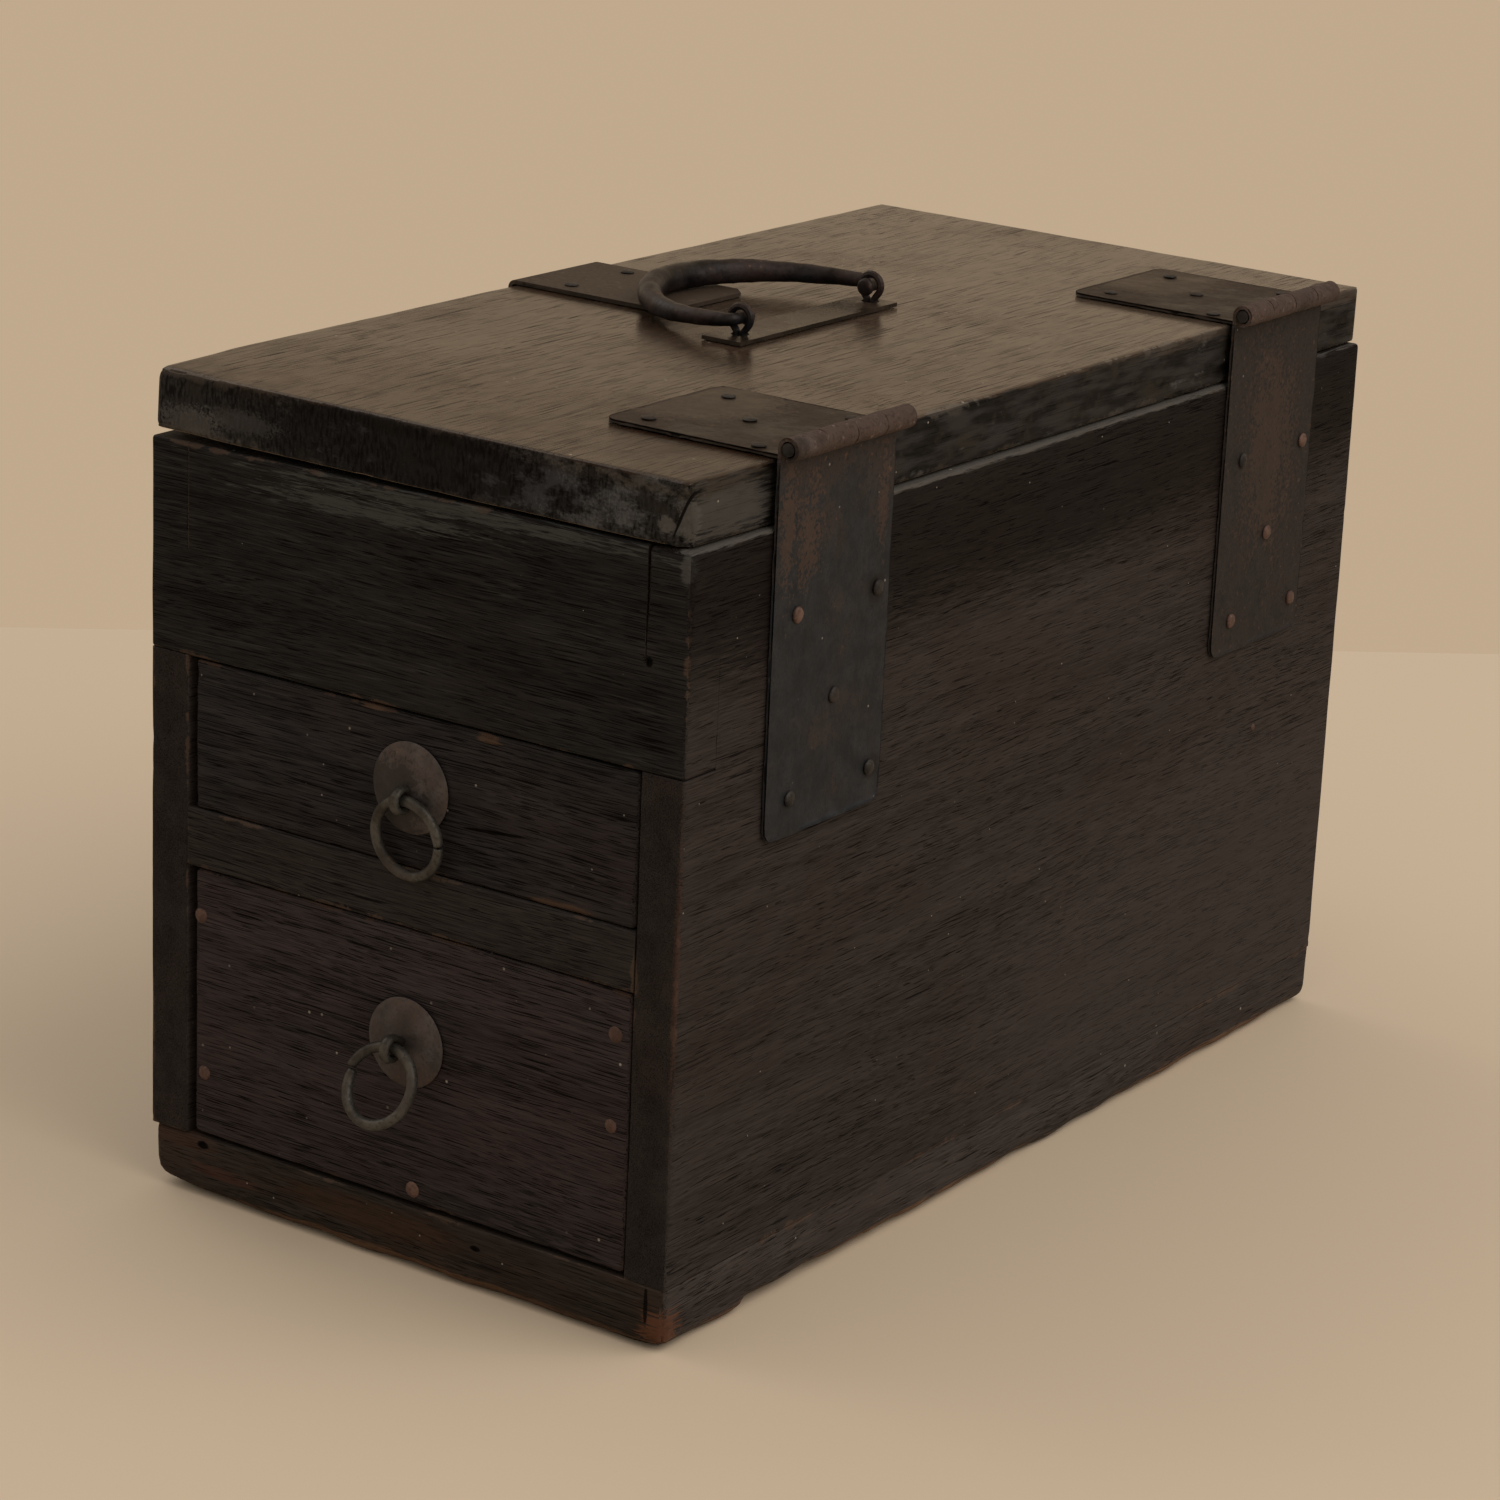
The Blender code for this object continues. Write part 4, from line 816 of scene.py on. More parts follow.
sideOutline = [
    (rightLow.y, rightLow.z), (rightHigh.y, rightLow.z), (rightHigh.y, topZ), (rightLow.y, topZ),
    (rightLow.y, stepZ + gap), (frontHigh.y + gap, stepZ + gap),
    (frontHigh.y + gap, frontLow.z - gap), (rightLow.y, frontLow.z - gap),
]
sideJoints = (0, 4, 5, 6)
rightSide = {
    "radius": (0.0008, 0.0011, 0.0011), "nicks": 0.0012, "tight": sideJoints,
    "rubbed": (
        (onBox(90, -172, 217), 0.03, 0.0014), (onBox(90, 0, 217), 0.12, 0.0006),
        (onBox(90, 120, 217), 0.08, 0.0005), (onBox(90, -176, 120), 0.03, 0.0006),
        (onBox(90, -176, 60), 0.03, 0.0005),
    ),
    "scoops": (
        (onBox(91.2, -177.2, 141.5), 0.0021), (onBox(91.3, -177.4, 133), 0.0020),
        (onBox(91.2, -177.4, 112), 0.0019), (onBox(91.4, -177.4, 96), 0.0021), (onBox(91.3, -177.5, 74), 0.0019),
    ),
}
leftSide = {"radius": (0.0011, 0.0008, 0.0011), "nicks": 0.0010, "tight": sideJoints}
sideWood = {
    "poreShare": 0.55, "poreLength": 0.75, "redShare": 0.25, "greyShare": 0.4, "paleShare": 0.12,
    "dark": (0.0150, 0.0116, 0.0101), "mid": (0.0436, 0.0342, 0.0292), "pore": (0.0070, 0.0051, 0.0043),
}
# the sides' front ends: a darker copy of the side wood, partly painted shade of the front of the box
stileWood = {
    **sideWood, "dark": (0.0075, 0.0060, 0.0053), "mid": (0.0290, 0.0234, 0.0203),
    "pore": (0.0030, 0.0023, 0.0020),
}
rightWearAndShading = (
    cornerScuff,
    patch(90, frontFace, 104, (1.2, 1.2, 40), (0.060, 0.032, 0.022), 0.5, 4.0),
    # the side is painted darker along its top under the lid and lighter low at its back: painted shade and painted
    # light
    patch(90, 0, 226, (20, 440, 42), (0.36, 0.36, 0.36), 1.0, 1.2, mode="MULTIPLY"),
    patch(90, -60, 217.4, (6, 240, 1.3), (0.085, 0.076, 0.065), 0.8, 2.6),
    patch(90, 130, 36, (20, 150, 65), (0.0540, 0.0430, 0.0375), 0.40, 2.4),
)


# a side board's front end is a stile below and a finger of the front above; inner is the inside's direction; wear
# holds the side's patches, painted shade and light among them
def makeSide(prefix, seed, low, high, shape, wear, stileWear, inner):
    board = makeSlab(low, high, "YZ", sideOutline, shape)
    wood = makeWood(prefix + "SideWood", "Y", seed, low, high, {**sideWood, "patches": wear})
    stile = makeWood(prefix + "StileWood", "Y", seed, low, high, {**stileWood, "patches": stileWear})
    ends = [(looking(1, -1), stile), (looking(1, -1, stepZ), frontFinish)]
    others = ends + [(looking(0, inner, floorZ), bareSides)]
    finishPiece(prefix + "SideBoard", board, wood, "carcass", [prefix + "_side_board"], others=others)
    return wood


rightWood = makeSide("right", 1.0, rightLow, rightHigh, rightSide, rightWearAndShading, rightWearAndShading[:2], -1)
leftWood = makeSide("left", 2.0, leftLow, leftHigh, leftSide, (), (), 1)
print("sides made")

between = rightLow.x - seam
leftBetween = leftHigh.x + seam / 3
frontOutline = [
    (frontLow.x, frontLow.z), (frontHigh.x, frontLow.z), (frontHigh.x, stepZ), (between, stepZ),
    (between, topZ), (leftBetween, topZ), (leftBetween, stepZ), (frontLow.x, stepZ),
]
frontBoard = {
    "radius": (0.0011, 0.00002, 0.0011), "nicks": 0.0009, "tight": (2, 3, 5, 6),
    "scoops": ((onBox(76.9, -177.2, 187.2), 0.0014),),
}
board = makeSlab(frontLow, frontHigh, "XZ", frontOutline, frontBoard)
others = [(looking(0, 1), rightWood), (looking(0, -1), leftWood), (looking(1, 1, floorZ), bareEnds)]
finishPiece("frontBoard", board, frontFinish, "carcass", ["front_board"], others=others)

caseLow.x, caseHigh.x = leftBetween, between
board = makeSlab(caseLow, caseHigh, "XZ", None, {"radius": (0.0007, 0.0010, 0.0008)})
wood = makeWood("backWood", "X", 4.0, caseLow, caseHigh)
finishPiece("backBoard", board, wood, "carcass", ["back_board"], others=[(looking(1, -1), bareEnds)])

shelfLow, shelfHigh = cornersOf("drawer_shelf")
shelfLow.x, shelfHigh.x = leftBetween, between
shelf = {"radius": (0.0007, 0.0007, 0.0007), "nicks": 0.0008, "step": 0.004, "tight": (1, 3)}
shelfWood = {
    "redShare": 0.15, "greyShare": 0.40, "dark": (0.0080, 0.0065, 0.0058), "mid": (0.0350, 0.0290, 0.0255),
}
board = makeSlab(shelfLow, shelfHigh, "XY", None, shelf)
wood = makeWood("shelfWood", "X", 5.0, shelfLow, shelfHigh, shelfWood)
finishPiece("drawerShelf", board, wood, "carcass", ["drawer_shelf"])
print("front, back and shelf made")

# base: rounded underneath, hollowed behind its front foot, its front right corner broken away
baseLow, baseHigh = cornersOf("base_board")
baseHigh.z = rightLow.z - gap
relief = {"start": frontY + 0.036, "step": 0.0018, "length": 0.110}
baseBoard = {
    "radius": (0.0056, 0.0003, 0.0022), "nicks": 0.0011,
    "stopsA": (onBox(-70.4, 0, 0)[0], onBox(27.1, 0, 0)[0]),
    "stopsB": (relief["start"], relief["start"] + relief["step"]),
    "rubbed": ((onBox(-90, -176, 0), 0.05, 0.003), (onBox(90, -176, 0), 0.012, 0.002)),
    "scoops": (
        (onBox(92.5, -179.5, 4.0), 0.0062), (onBox(86.0, -179.5, 2.5), 0.0046),
        (onBox(93.5, -172.0, 4.5), 0.0045), (onBox(90.5, -178.5, 11.5), 0.0034),
        (onBox(-70.4, -177.3, 16.2), 0.0014), (onBox(27.1, -177.3, 12.7), 0.0013),
    ),
}
bareRim = (0.17, 0.095, 0.052)
baseWearAndShade = (
    patch(89, -176, 6, (7.5, 6, 5.5), (0.110, 0.046, 0.024), 0.75, 4.5),
    # painted shade in a crack at the broken corner
    patch(84, frontFace, 12.5, (0.6, 4, 5), (0.002, 0.0014, 0.0011), 0.9, 1.6),
    patch(-80, frontFace, 17, (14, 5, 4), (0.050, 0.025, 0.016), 0.55, 4.0),
    patch(-62, frontFace, 9, (12, 5, 1.6), (0.060, 0.026, 0.018), 0.5, 4.0),
    patch(-10, frontFace, 12, (30, 5, 4), (0.040, 0.022, 0.013), ragged=2.6),
    patch(90, -80, 1.5, (8, 85, 2.2), bareRim, ragged=3.0),
    patch(90, 110, 1.5, (8, 55, 2.2), bareRim, ragged=3.0),
    patch(10, -176, 2, (70, 6, 1.6), (0.12, 0.065, 0.036), ragged=3.2),
    # painted shade in two nail holes
    patch(-70.4, frontFace, 16.2, (1.9, 4, 1), holeShade, 0.95),
    patch(27.1, frontFace, 12.7, (1.6, 4, 0.7), holeShade, 0.95),
)
baseWood = {
    "redShare": 0.35, "dark": (0.0100, 0.0076, 0.0058), "mid": (0.0410, 0.0300, 0.0222),
    "red": (0.0460, 0.0255, 0.0170), "patches": baseWearAndShade,
}
flankWood = {**sideWood, "dark": (0.0200, 0.0160, 0.0140), "mid": (0.0620, 0.0500, 0.0440), "patches": baseWearAndShade}
flankFacing = 0.6


def hollowBase(bm, settings):
    height = baseHigh.z - baseLow.z
    for vert in bm.verts:
        past = vert.co.y - settings["start"]
        if 0 <= past <= settings["length"]:
            rise = settings["step"] * min(1.0, past / settings["step"]) * (1 - past / settings["length"])
            vert.co.z += rise * (1 - (vert.co.z - baseLow.z) / height)


board = makeSlab(baseLow, baseHigh, "XY", None, baseBoard)
hollowBase(board, relief)
wood = makeWood("baseWood", "X", 6.0, baseLow, baseHigh, baseWood)
flanks = makeWood("baseFlankWood", "Y", 6.0, baseLow, baseHigh, flankWood)
others = [(lambda face: abs(face.normal.x) > flankFacing, flanks)]
finishPiece("baseBoard", board, wood, "carcass", ["base_board"], others=others)
print("base made")

drawerWood = {
    "redShare": 0.40, "greyShare": 0.35, "worn": (0.0600, 0.0360, 0.0240), "wearWidth": 0.0010, "poreShare": 0.64,
    "poreLength": 1.1, "bandShare": 0.12,
}
drawerBoard = {"radius": (0.0009, 0.0006, 0.0014), "nicks": 0.0018, "step": 0.0028, "sway": 0.00015}
drawerPlay = 0.0021  # the fronts stand loose at their left
chipped = (0.080, 0.046, 0.028)
drawers = {
    "upper": {
        "seed": 7.0,
        "scoops": ((onBox(27, -177.4, 157.2), 0.0022), (onBox(52, -177.4, 115.2), 0.0018)),
        "tones": {
            "dark": (0.0062, 0.0054, 0.0052), "mid": (0.0310, 0.0272, 0.0264), "red": (0.0345, 0.0235, 0.0200),
        },
        "patches": (
            # painted shade in a split beside the ring
            patch(29.5, frontFace, 130.9, (9.5, 6, 0.42), crackShade, 0.95, 0.6, turn=(0, math.radians(5), 0)),
            patch(27, frontFace, 155.9, (3.8, 4, 1.2), chipped, ragged=2.4),
            patch(-11.7, frontFace, 157, (4, 4, 1), chipped, ragged=2.4),
            patch(52, frontFace, 116, (10, 4, 0.8), chipped, 0.6, 3.4),
        ),
    },
    "lower": {
        "seed": 8.0,
        "scoops": (),
        "tones": {
            "dark": (0.0100, 0.0078, 0.0074), "mid": (0.0495, 0.0375, 0.0365), "red": (0.0480, 0.0305, 0.0275),
        },
        "patches": (
            patch(-40, frontFace, 98, (20, 4, 0.8), chipped, 0.6, 3.6),
            patch(20, frontFace, 98, (14, 4, 0.8), chipped, 0.6, 3.6),
        ),
    },
}
for prefix, settings in drawers.items():
    node = prefix + "_drawer_front"
    low, high = cornersOf(node)
    low.x += drawerPlay
    board = makeSlab(low, high, "XZ", None, {**drawerBoard, "scoops": settings["scoops"]})
    look = {**drawerWood, **settings["tones"], "patches": settings["patches"]}
    wood = makeWood(prefix + "DrawerWood", "X", settings["seed"], low, high, look)
    finishPiece(prefix + "DrawerFront", board, wood, prefix + "_drawer", [node])
print("drawer fronts made")

# lid: drawn level on the closed box, then tilted with its hinge as it stands
hinge = Vector(joints["lid_hinge"]["pos_m"])
lidLow, lidHigh = Vector(onBox(-89.5, frontFace, 217.6)), Vector(onBox(88.5, -frontFace, lidTop))
tilt = math.radians(0.5)
tiltTurn = Matrix.Rotation(tilt, 4, "Y")
lidTilt = Matrix.Translation(hinge) @ tiltTurn @ Matrix.Translation(-hinge)
untilt = {"rotation": (0, -tilt, 0), "location": hinge - tiltTurn.inverted() @ hinge}
scuffed = (0.115, 0.105, 0.090)
lidBoard = {
    "radius": (0.0010, 0.0013, 0.0024), "nicks": 0.0016,
    "rubbed": (
        (onBox(88, -176, 234), 0.03, 0.0016), (onBox(-89, -176, 234), 0.03, 0.0028),
        (onBox(88, -60, 234), 0.06, 0.0008),
    ),
    "scoops": ((onBox(80, -178.0, 217.0), 0.0030), (onBox(60, -178.2, 236.0), 0.0028)),
    "facets": ((onBox(87.9, -176.3, 233.4), (0.50, -0.85, -0.20)),),
}
lidWood = {
    "dark": (0.0140, 0.0085, 0.0055), "mid": (0.0470, 0.0275, 0.0160), "red": (0.0460, 0.0240, 0.0135),
    "redShare": 0.30, "grey": (0.0480, 0.0390, 0.0300), "greyShare": 0.22, "worn": (0.1000, 0.0820, 0.0640),
    "wearWidth": 0.0022, "pore": (0.0012, 0.0008, 0.0006), "poreLength": 1.5, "poreShare": 0.54, "paleShare": 0.10,
    "roughness": 0.17, "specular": 0.27, "relief": 0.00016,
    "flank": {
        "start": 0.2349, "end": 0.2355, "dark": (0.0040, 0.0035, 0.0033), "mid": (0.0235, 0.0210, 0.0195),
        "stain": (0.0220, 0.0186, 0.0140), "scuff": (0.082, 0.078, 0.072), "scuffFrom": 0.005, "scuffTo": 0.050,
        "corner": onBox(87.0, 0, 0)[0], "roughness": 0.25,
    },
    "patches": (
        patch(0, frontFace, 226, (60, 4, 9), (0.46, 0.46, 0.52), 1.0, 1.8, mode="MULTIPLY"),
        patch(-76, frontFace, 221.5, (10, 4, 4), scuffed, 0.35, 3.4),
        patch(-58, frontFace, 224.5, (12, 4, 3), scuffed, 0.22, 3.4),
        patch(87.6, -175.5, 224, (2.2, 4, 5.5), scuffed, 0.5, 2.6),
        patch(81.8, frontFace, 223.1, (2.3, 4, 2.2), scuffed, 0.5, 2.0),
        patch(88.4, frontFace, 220.3, (1.8, 4, 1.8), scuffed, 0.5, 2.0),
        patch(89, -160, 226, (6, 18, 8.5), (0.064, 0.057, 0.048), 0.65, 3.4),
        # painted reflection: the top is darker along its front and at its right front corner and lighter over its
        # rear half, where its sheen is stronger; the front strip is also a little duller
        patch(64, -142, lidTop, (20, 35, 4), (0.72, 0.64, 0.60), 1.0, mode="MULTIPLY"),
        patch(20, 175, lidTop, (130, 150, 4), (0.100, 0.072, 0.050), 0.32, 2.4),
        patch(40, -190, lidTop, (150, 75, 4), (0.80, 0.72, 0.64), 1.0, mode="MULTIPLY", dull=0.08),
        patch(34.6, 4, lidTop, (0.4, 16, 4), (0.012, 0.009, 0.007)),
        # painted shade in a crack in the lid's front
        patch(86.4, frontFace, 227.4, (0.3, 6, 7.5), crackShade, 0.95, 0.5, turn=(0, math.radians(-21.6), 0)),
    ),
}
lidEdge = {**lidWood, "specular": 0.05, "wearShare": 0.3}
board = makeSlab(lidLow, lidHigh, "XY", None, lidBoard)
bmesh.ops.transform(board, matrix=lidTilt, verts=board.verts[:])
wood = makeWood("lidTopWood", "Y", 9.0, lidLow, lidHigh, lidWood, untilt)
edgeWood = makeWood("lidEdgeWood", "Y", 9.0, lidLow, lidHigh, lidEdge, untilt)
under = makeWood("lidUnderWood", "Y", 10.0, lidLow, lidHigh, innerWood, untilt)
others = [(looking(2, 1), wood), (looking(2, -1), under)]
finishPiece("lidBoard", board, edgeWood, "lid", ["lid_board"], others)
print("lid made")


wireNoise = 300.0


# a wire drawn along a path: a round loop of edges is extruded from point to point and capped
def sweepWire(bm, path, radii, sides, rough):
    tangents = [(after - before).normalized() for before, after in zip(path[:1] + path[:-1], path[1:] + path[-1:])]
    across = tangents[0].orthogonal().normalized()
    ring = bmesh.ops.create_circle(bm, cap_ends=True, radius=1.0, segments=sides)["verts"]
    edges = [edge for edge in bm.edges if edge.verts[0] in ring and edge.verts[1] in ring]
    unwind = Matrix.Identity(4)
    for index, (point, tangent, radius) in enumerate(zip(path, tangents, radii)):
        across = (across - tangent * across.dot(tangent)).normalized()
        matrix = Matrix((across, tangent.cross(across), tangent)).transposed().to_4x4()
        matrix.translation = point
        if index:
            made = bmesh.ops.extrude_edge_only(bm, edges=edges)["geom"]
            ring = [item for item in made if isinstance(item, bmesh.types.BMVert)]
            edges = [item for item in made if isinstance(item, bmesh.types.BMEdge)]
            edges = [edge for edge in edges if edge.verts[0] in ring and edge.verts[1] in ring]
        for vert in ring:
            local = unwind @ vert.co
            arm = Vector((local.x, local.y, 0)).normalized() * radius
            vert.co = matrix @ (arm * (1 + rough * noise.noise((matrix @ arm) * wireNoise)))
        unwind = matrix.inverted()
    bmesh.ops.edgeloop_fill(bm, edges=edges)


# ring pulls: a bent wire ring, its thinned ends meeting at the parting
ringSettings = {
    "upper": {"swing": -5.0, "skew": 8.0, "parting": 0.0, "spring": 0.0},
    "lower": {"swing": 28.0, "skew": 0.0, "parting": 165.0, "spring": 0.0006},
    "radius": 0.0106, "wire": 0.0015, "opening": 4.0, "steps": 90, "sides": 16, "rough": 0.05, "thin": (0.12, 12),
}


def makeRing(prefix):
    settings = {**ringSettings, **ringSettings[prefix]}
    pivot = Vector(joints[prefix + "_ring_swing"]["pos_m"])
    radius = settings["radius"]
    skew = math.radians(settings["skew"])
    middle = Vector((math.sin(skew), 0.0, -math.cos(skew))) * radius
    turn = Matrix.Rotation(-math.radians(settings["swing"]), 4, "X")
    opening = math.radians(settings["opening"])
    thin, power = settings["thin"]
    path, radii = [], []
    for step in range(settings["steps"] + 1):
        share = step / settings["steps"]
        angle = math.radians(settings["parting"]) + opening / 2 + (2 * math.pi - opening) * share
        reach = radius + settings["spring"] * (2 * share - 1)
        path.append(pivot + turn @ (middle + Vector((reach * math.cos(angle), 0.0, reach * math.sin(angle)))))
        radii.append(settings["wire"] * (1 - thin * (abs(2 * share - 1) ** power)))
    bm = bmesh.new()
    sweepWire(bm, path, radii, settings["sides"], settings["rough"])
    finishPiece(prefix + "PullRing", bm, irons["ring"], prefix + "_ring", [prefix + "_pull_ring"])


for prefix in ("upper", "lower"):
    makeRing(prefix)
print("rings made")

# domed discs behind the rings, spun from a profile, dented by hand hammering
discSettings = {
    "radius": 0.0127, "rim": 0.0006, "crown": 0.0022, "bevel": 0.0002, "shoulder": 0.0003, "edge": 0.7,
    "rows": 14, "steps": 96,
    "hammer": 0.00012, "hammerSize": 380.0, "smooth": 0.0004,
}


def makeDisc(prefix, settings):
    low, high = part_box(prefix + "_pull_plate")
    middle = Vector(((low.x + high.x) / 2, high.y, (low.z + high.z) / 2))
    radius, rim, crown = settings["radius"], settings["rim"], settings["crown"]
    bevel, inner = settings["bevel"], radius - settings["shoulder"]
    profile = [(0.0, 0.0), (radius - bevel, 0.0), (radius, bevel), (radius, rim * settings["edge"]), (inner, rim)]
    for step in range(1, settings["rows"] + 1):
        reach = inner * (1 - step / settings["rows"])
        profile.append((reach, rim + (crown - rim) * (1 - (reach / radius) ** 2)))
    bm = bmesh.new()
    verts = [bm.verts.new(middle + Vector((reach, -rise, 0.0))) for reach, rise in profile]
    edges = [bm.edges.new(pair) for pair in zip(verts, verts[1:])]
    around = {"cent": middle, "axis": (0, 1, 0), "angle": 2 * math.pi, "steps": settings["steps"]}
    bmesh.ops.spin(bm, geom=verts + edges, use_merge=True, **around)
    bmesh.ops.remove_doubles(bm, verts=bm.verts[:], dist=tiny)
    for vert in bm.verts:
        if vert.co.y < middle.y - settings["smooth"]:
            vert.co.y += settings["hammer"] * (1 + noise.noise(vert.co * settings["hammerSize"]))
    finishPiece(prefix + "PullDisc", bm, irons["disc"], prefix + "_drawer", [prefix + "_pull_plate"])


for prefix in ("upper", "lower"):
    makeDisc(prefix, discSettings)
print("discs made")

# hinge plates: a sheet drawn as a profile, rolled round the pin, notched for the other plate's knuckles
hingeSettings = {
    "front": {"start": -142.0, "strap": "strap"},
    "rear": {"start": 92.0, "strap": "rearStrap"},
    "width": 53.5, "overhang": 1.2, "inset": 2.0,  # millimetres
    "plate": 0.0012, "barrel": 0.00329, "notch": 0.0004, "leafLength": 0.060, "corner": 0.0042, "rowStep": 0.0016,
    "knuckles": 4, "turn": 292, "runSteps": 40, "notchSteps": 4, "rollSteps": 30, "barrelFrom": 0.0031,
    "rollRim": 0.00008, "plateRim": 0.00030, "sharp": 55, "rough": 0.00022, "lumps": (170.0, 620.0),
    "lumpLevel": 0.5, "fineShare": 0.6,
}


# stations of a profile as place and outward normal in XZ: a straight run to the pin, then the roll
def rollProfile(start, end, side, settings):
    start, end, pin = Vector(start), Vector(end), Vector((hinge.x, hinge.z))
    run = end - start
    length = run.length
    run.normalize()
    outward = Vector((run.y, -run.x)) * side
    cut = length - settings["barrel"] - settings["notch"]
    runs, notches, rolls = settings["runSteps"], settings["notchSteps"], settings["rollSteps"]
    stations = [(start + run * (cut * step / runs), outward) for step in range(runs + 1)]
    for step in range(1, notches + 1):
        stations.append((start + run * (cut + (length - cut) * step / notches), outward))
    first = math.atan2((end - pin).y, (end - pin).x)
    for step in range(1, rolls + 1):
        angle = first + side * math.radians(settings["turn"]) * step / rolls
        arm = Vector((math.cos(angle), math.sin(angle)))
        stations.append((pin + arm * (settings["barrel"] - settings["plate"] / 2), arm))
    return stations


# the sheet's outer corners are cut round; gone lists the spans of the roll that the other plate fills
def makeSheet(stations, rows, gone, settings):
    corner, plate = settings["corner"], settings["plate"]
    rollStart = settings["runSteps"] + 1
    start = stations[0][0]
    run = (stations[1][0] - start).normalized()
    bm, column, row = startGrid(len(stations), len(rows))
    for vert in bm.verts:
        place, outward = stations[vert[column]]
        fromFirst, fromLast = rows[vert[row]] - rows[0], rows[-1] - rows[vert[row]]
        reach = min(fromFirst, fromLast)
        along = (place - start).length
        away = Vector((corner - reach, corner - along))
        if min(away) > 0 and away.length > corner:
            away *= corner / away.length
            reach = corner - away.x
            place = start + run * (corner - away.y)
        across = rows[0] + reach if fromFirst < fromLast else rows[-1] - reach
        surface = place + outward * (plate / 2)
        vert.co = (surface.x, across, surface.y)
    for face in bm.faces[:]:
        middle = face.calc_center_median().y
        rolled = max(vert[column] for vert in face.verts) > rollStart
        if rolled and any(low < middle < high for low, high in gone):
            bm.faces.remove(face)
    loose = [vert for vert in bm.verts if not vert.link_faces]
    bmesh.ops.delete(bm, geom=loose, context="VERTS")
    for vert in thicken(bm):
        outward = stations[vert[column]][1]
        vert.co -= Vector((outward.x, 0.0, outward.y)) * plate
    bmesh.ops.remove_doubles(bm, verts=bm.verts[:], dist=tiny)
    faceOutwards(bm)
    limit = math.radians(settings["sharp"])
    sharp = [edge for edge in bm.edges if edge.is_manifold and edge.calc_face_angle(0.0) > limit]
    rims = {"rollRim": [], "plateRim": []}
    for edge in sharp:
        rims["rollRim" if min(vert[column] for vert in edge.verts) >= rollStart else "plateRim"].append(edge)
    for rim, edges in rims.items():
        bmesh.ops.bevel(
            bm, geom=[edge for edge in edges if edge.is_valid], offset=settings[rim], offset_type="OFFSET",
            affect="EDGES", segments=2, profile=0.5, material=-1, clamp_overlap=True,
        )
    bm.normal_update()
    broad, fine = settings["lumps"]
    level, share = settings["lumpLevel"], settings["fineShare"]
    for vert in bm.verts:
        lumps = level + noise.noise(vert.co * broad) + share * noise.noise(vert.co * fine)
        vert.co -= vert.normal * (settings["rough"] * max(0.0, lumps))
    return bm


def makeHinge(prefix):
    settings = {**hingeSettings, **hingeSettings[prefix]}
    front = onBox(0, settings["start"], 0)[1]
    back = front + settings["width"] / 1000
    barrelBack = back + settings["overhang"] / 1000
    roll = settings["barrel"] - settings["plate"] / 2
    knuckle = (barrelBack - front) / settings["knuckles"]
    bounds = [front + knuckle * index for index in range(settings["knuckles"] + 1)]
    spans = list(zip(bounds, bounds[1:]))

    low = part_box(prefix + "_side_strap")[0].z
    rows = rowPlaces([front, back] + bounds[1:-1], settings["rowStep"])
    stations = rollProfile((hinge.x - roll, low), (hinge.x - roll, hinge.z), -1, settings)  # rolls the other way
    bm = makeSheet(stations, rows, spans[1::2], settings)
    barrelFrom = hinge - Vector((1, 1, 1)) * settings["barrelFrom"]
    others = [(lambda face: face.calc_center_median().z > barrelFrom.z, irons["barrel"])]
    strap = irons[settings["strap"]]
    finishPiece(prefix + "SideStrap", bm, strap, "carcass", [prefix + "_side_strap"], others)

    rows = rowPlaces([front + settings["inset"] / 1000, barrelBack] + bounds[1:-1], settings["rowStep"])
    level = hinge.z - roll
    stations = rollProfile((hinge.x - settings["leafLength"], level), (hinge.x, level), 1, settings)
    bm = makeSheet(stations, rows, spans[0::2], settings)
    bmesh.ops.transform(bm, matrix=lidTilt, verts=bm.verts[:])
    others = [(lambda face: face.calc_center_median().x > barrelFrom.x, irons["barrel"])]
    finishPiece(prefix + "LidLeaf", bm, irons["leaf"], "lid", [prefix + "_lid_leaf"], others)


for prefix in ("front", "rear"):
    makeHinge(prefix)
print("hinges made")

# nail heads: hand-forged, low and uneven, one piece for each plate's row
nailSettings = {
    "segments": 20, "rings": 10, "sunk": 0.0009, "rise": (0.0009, 0.0009, 0.0005),
    "uneven": 0.10, "unevenSize": 1.1, "unevenStep": 900, "roughRise": 0.25, "roughSize": 2.3, "roughStep": 500,
}
brightNails = {"front": (4,), "rear": (1, 2, 3, 5)}


# turned: the sphere's poles lie along X
def addHead(bm, middle, radius, axis, turned=False, roughRise=0.0):
    segments, rings = nailSettings["segments"], nailSettings["rings"]
    made = bmesh.ops.create_uvsphere(bm, u_segments=segments, v_segments=rings, radius=1.0)["verts"]
    unevenShift, roughShift = middle * nailSettings["unevenStep"], middle * nailSettings["roughStep"]
    for vert in made:
        swell = noise.noise(vert.co * nailSettings["unevenSize"] + unevenShift)
        lift = noise.noise(vert.co * nailSettings["roughSize"] + roughShift)
        scale = Vector((radius, radius, radius)) * (1 + nailSettings["uneven"] * swell)
        scale[axis] = nailSettings["rise"][axis] * (1 + roughRise * lift)
        local = Vector((vert.co.z, vert.co.y, vert.co.x)) if turned else vert.co
        vert.co = middle + Vector([size * share for size, share in zip(scale, local)])
    return made


def makeHeads(name, nodes, axis, material, body):
    bm = bmesh.new()
    for node in nodes:
        low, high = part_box(node)
        middle = (low + high) / 2
        middle[axis] = high[axis] - nailSettings["sunk"]
        for vert in addHead(bm, middle, (high - low)[1] / 2, axis, axis == 0, nailSettings["roughRise"]):
            vert.co[axis] = min(vert.co[axis], high[axis])
    finishPiece(name, bm, material, body, nodes)


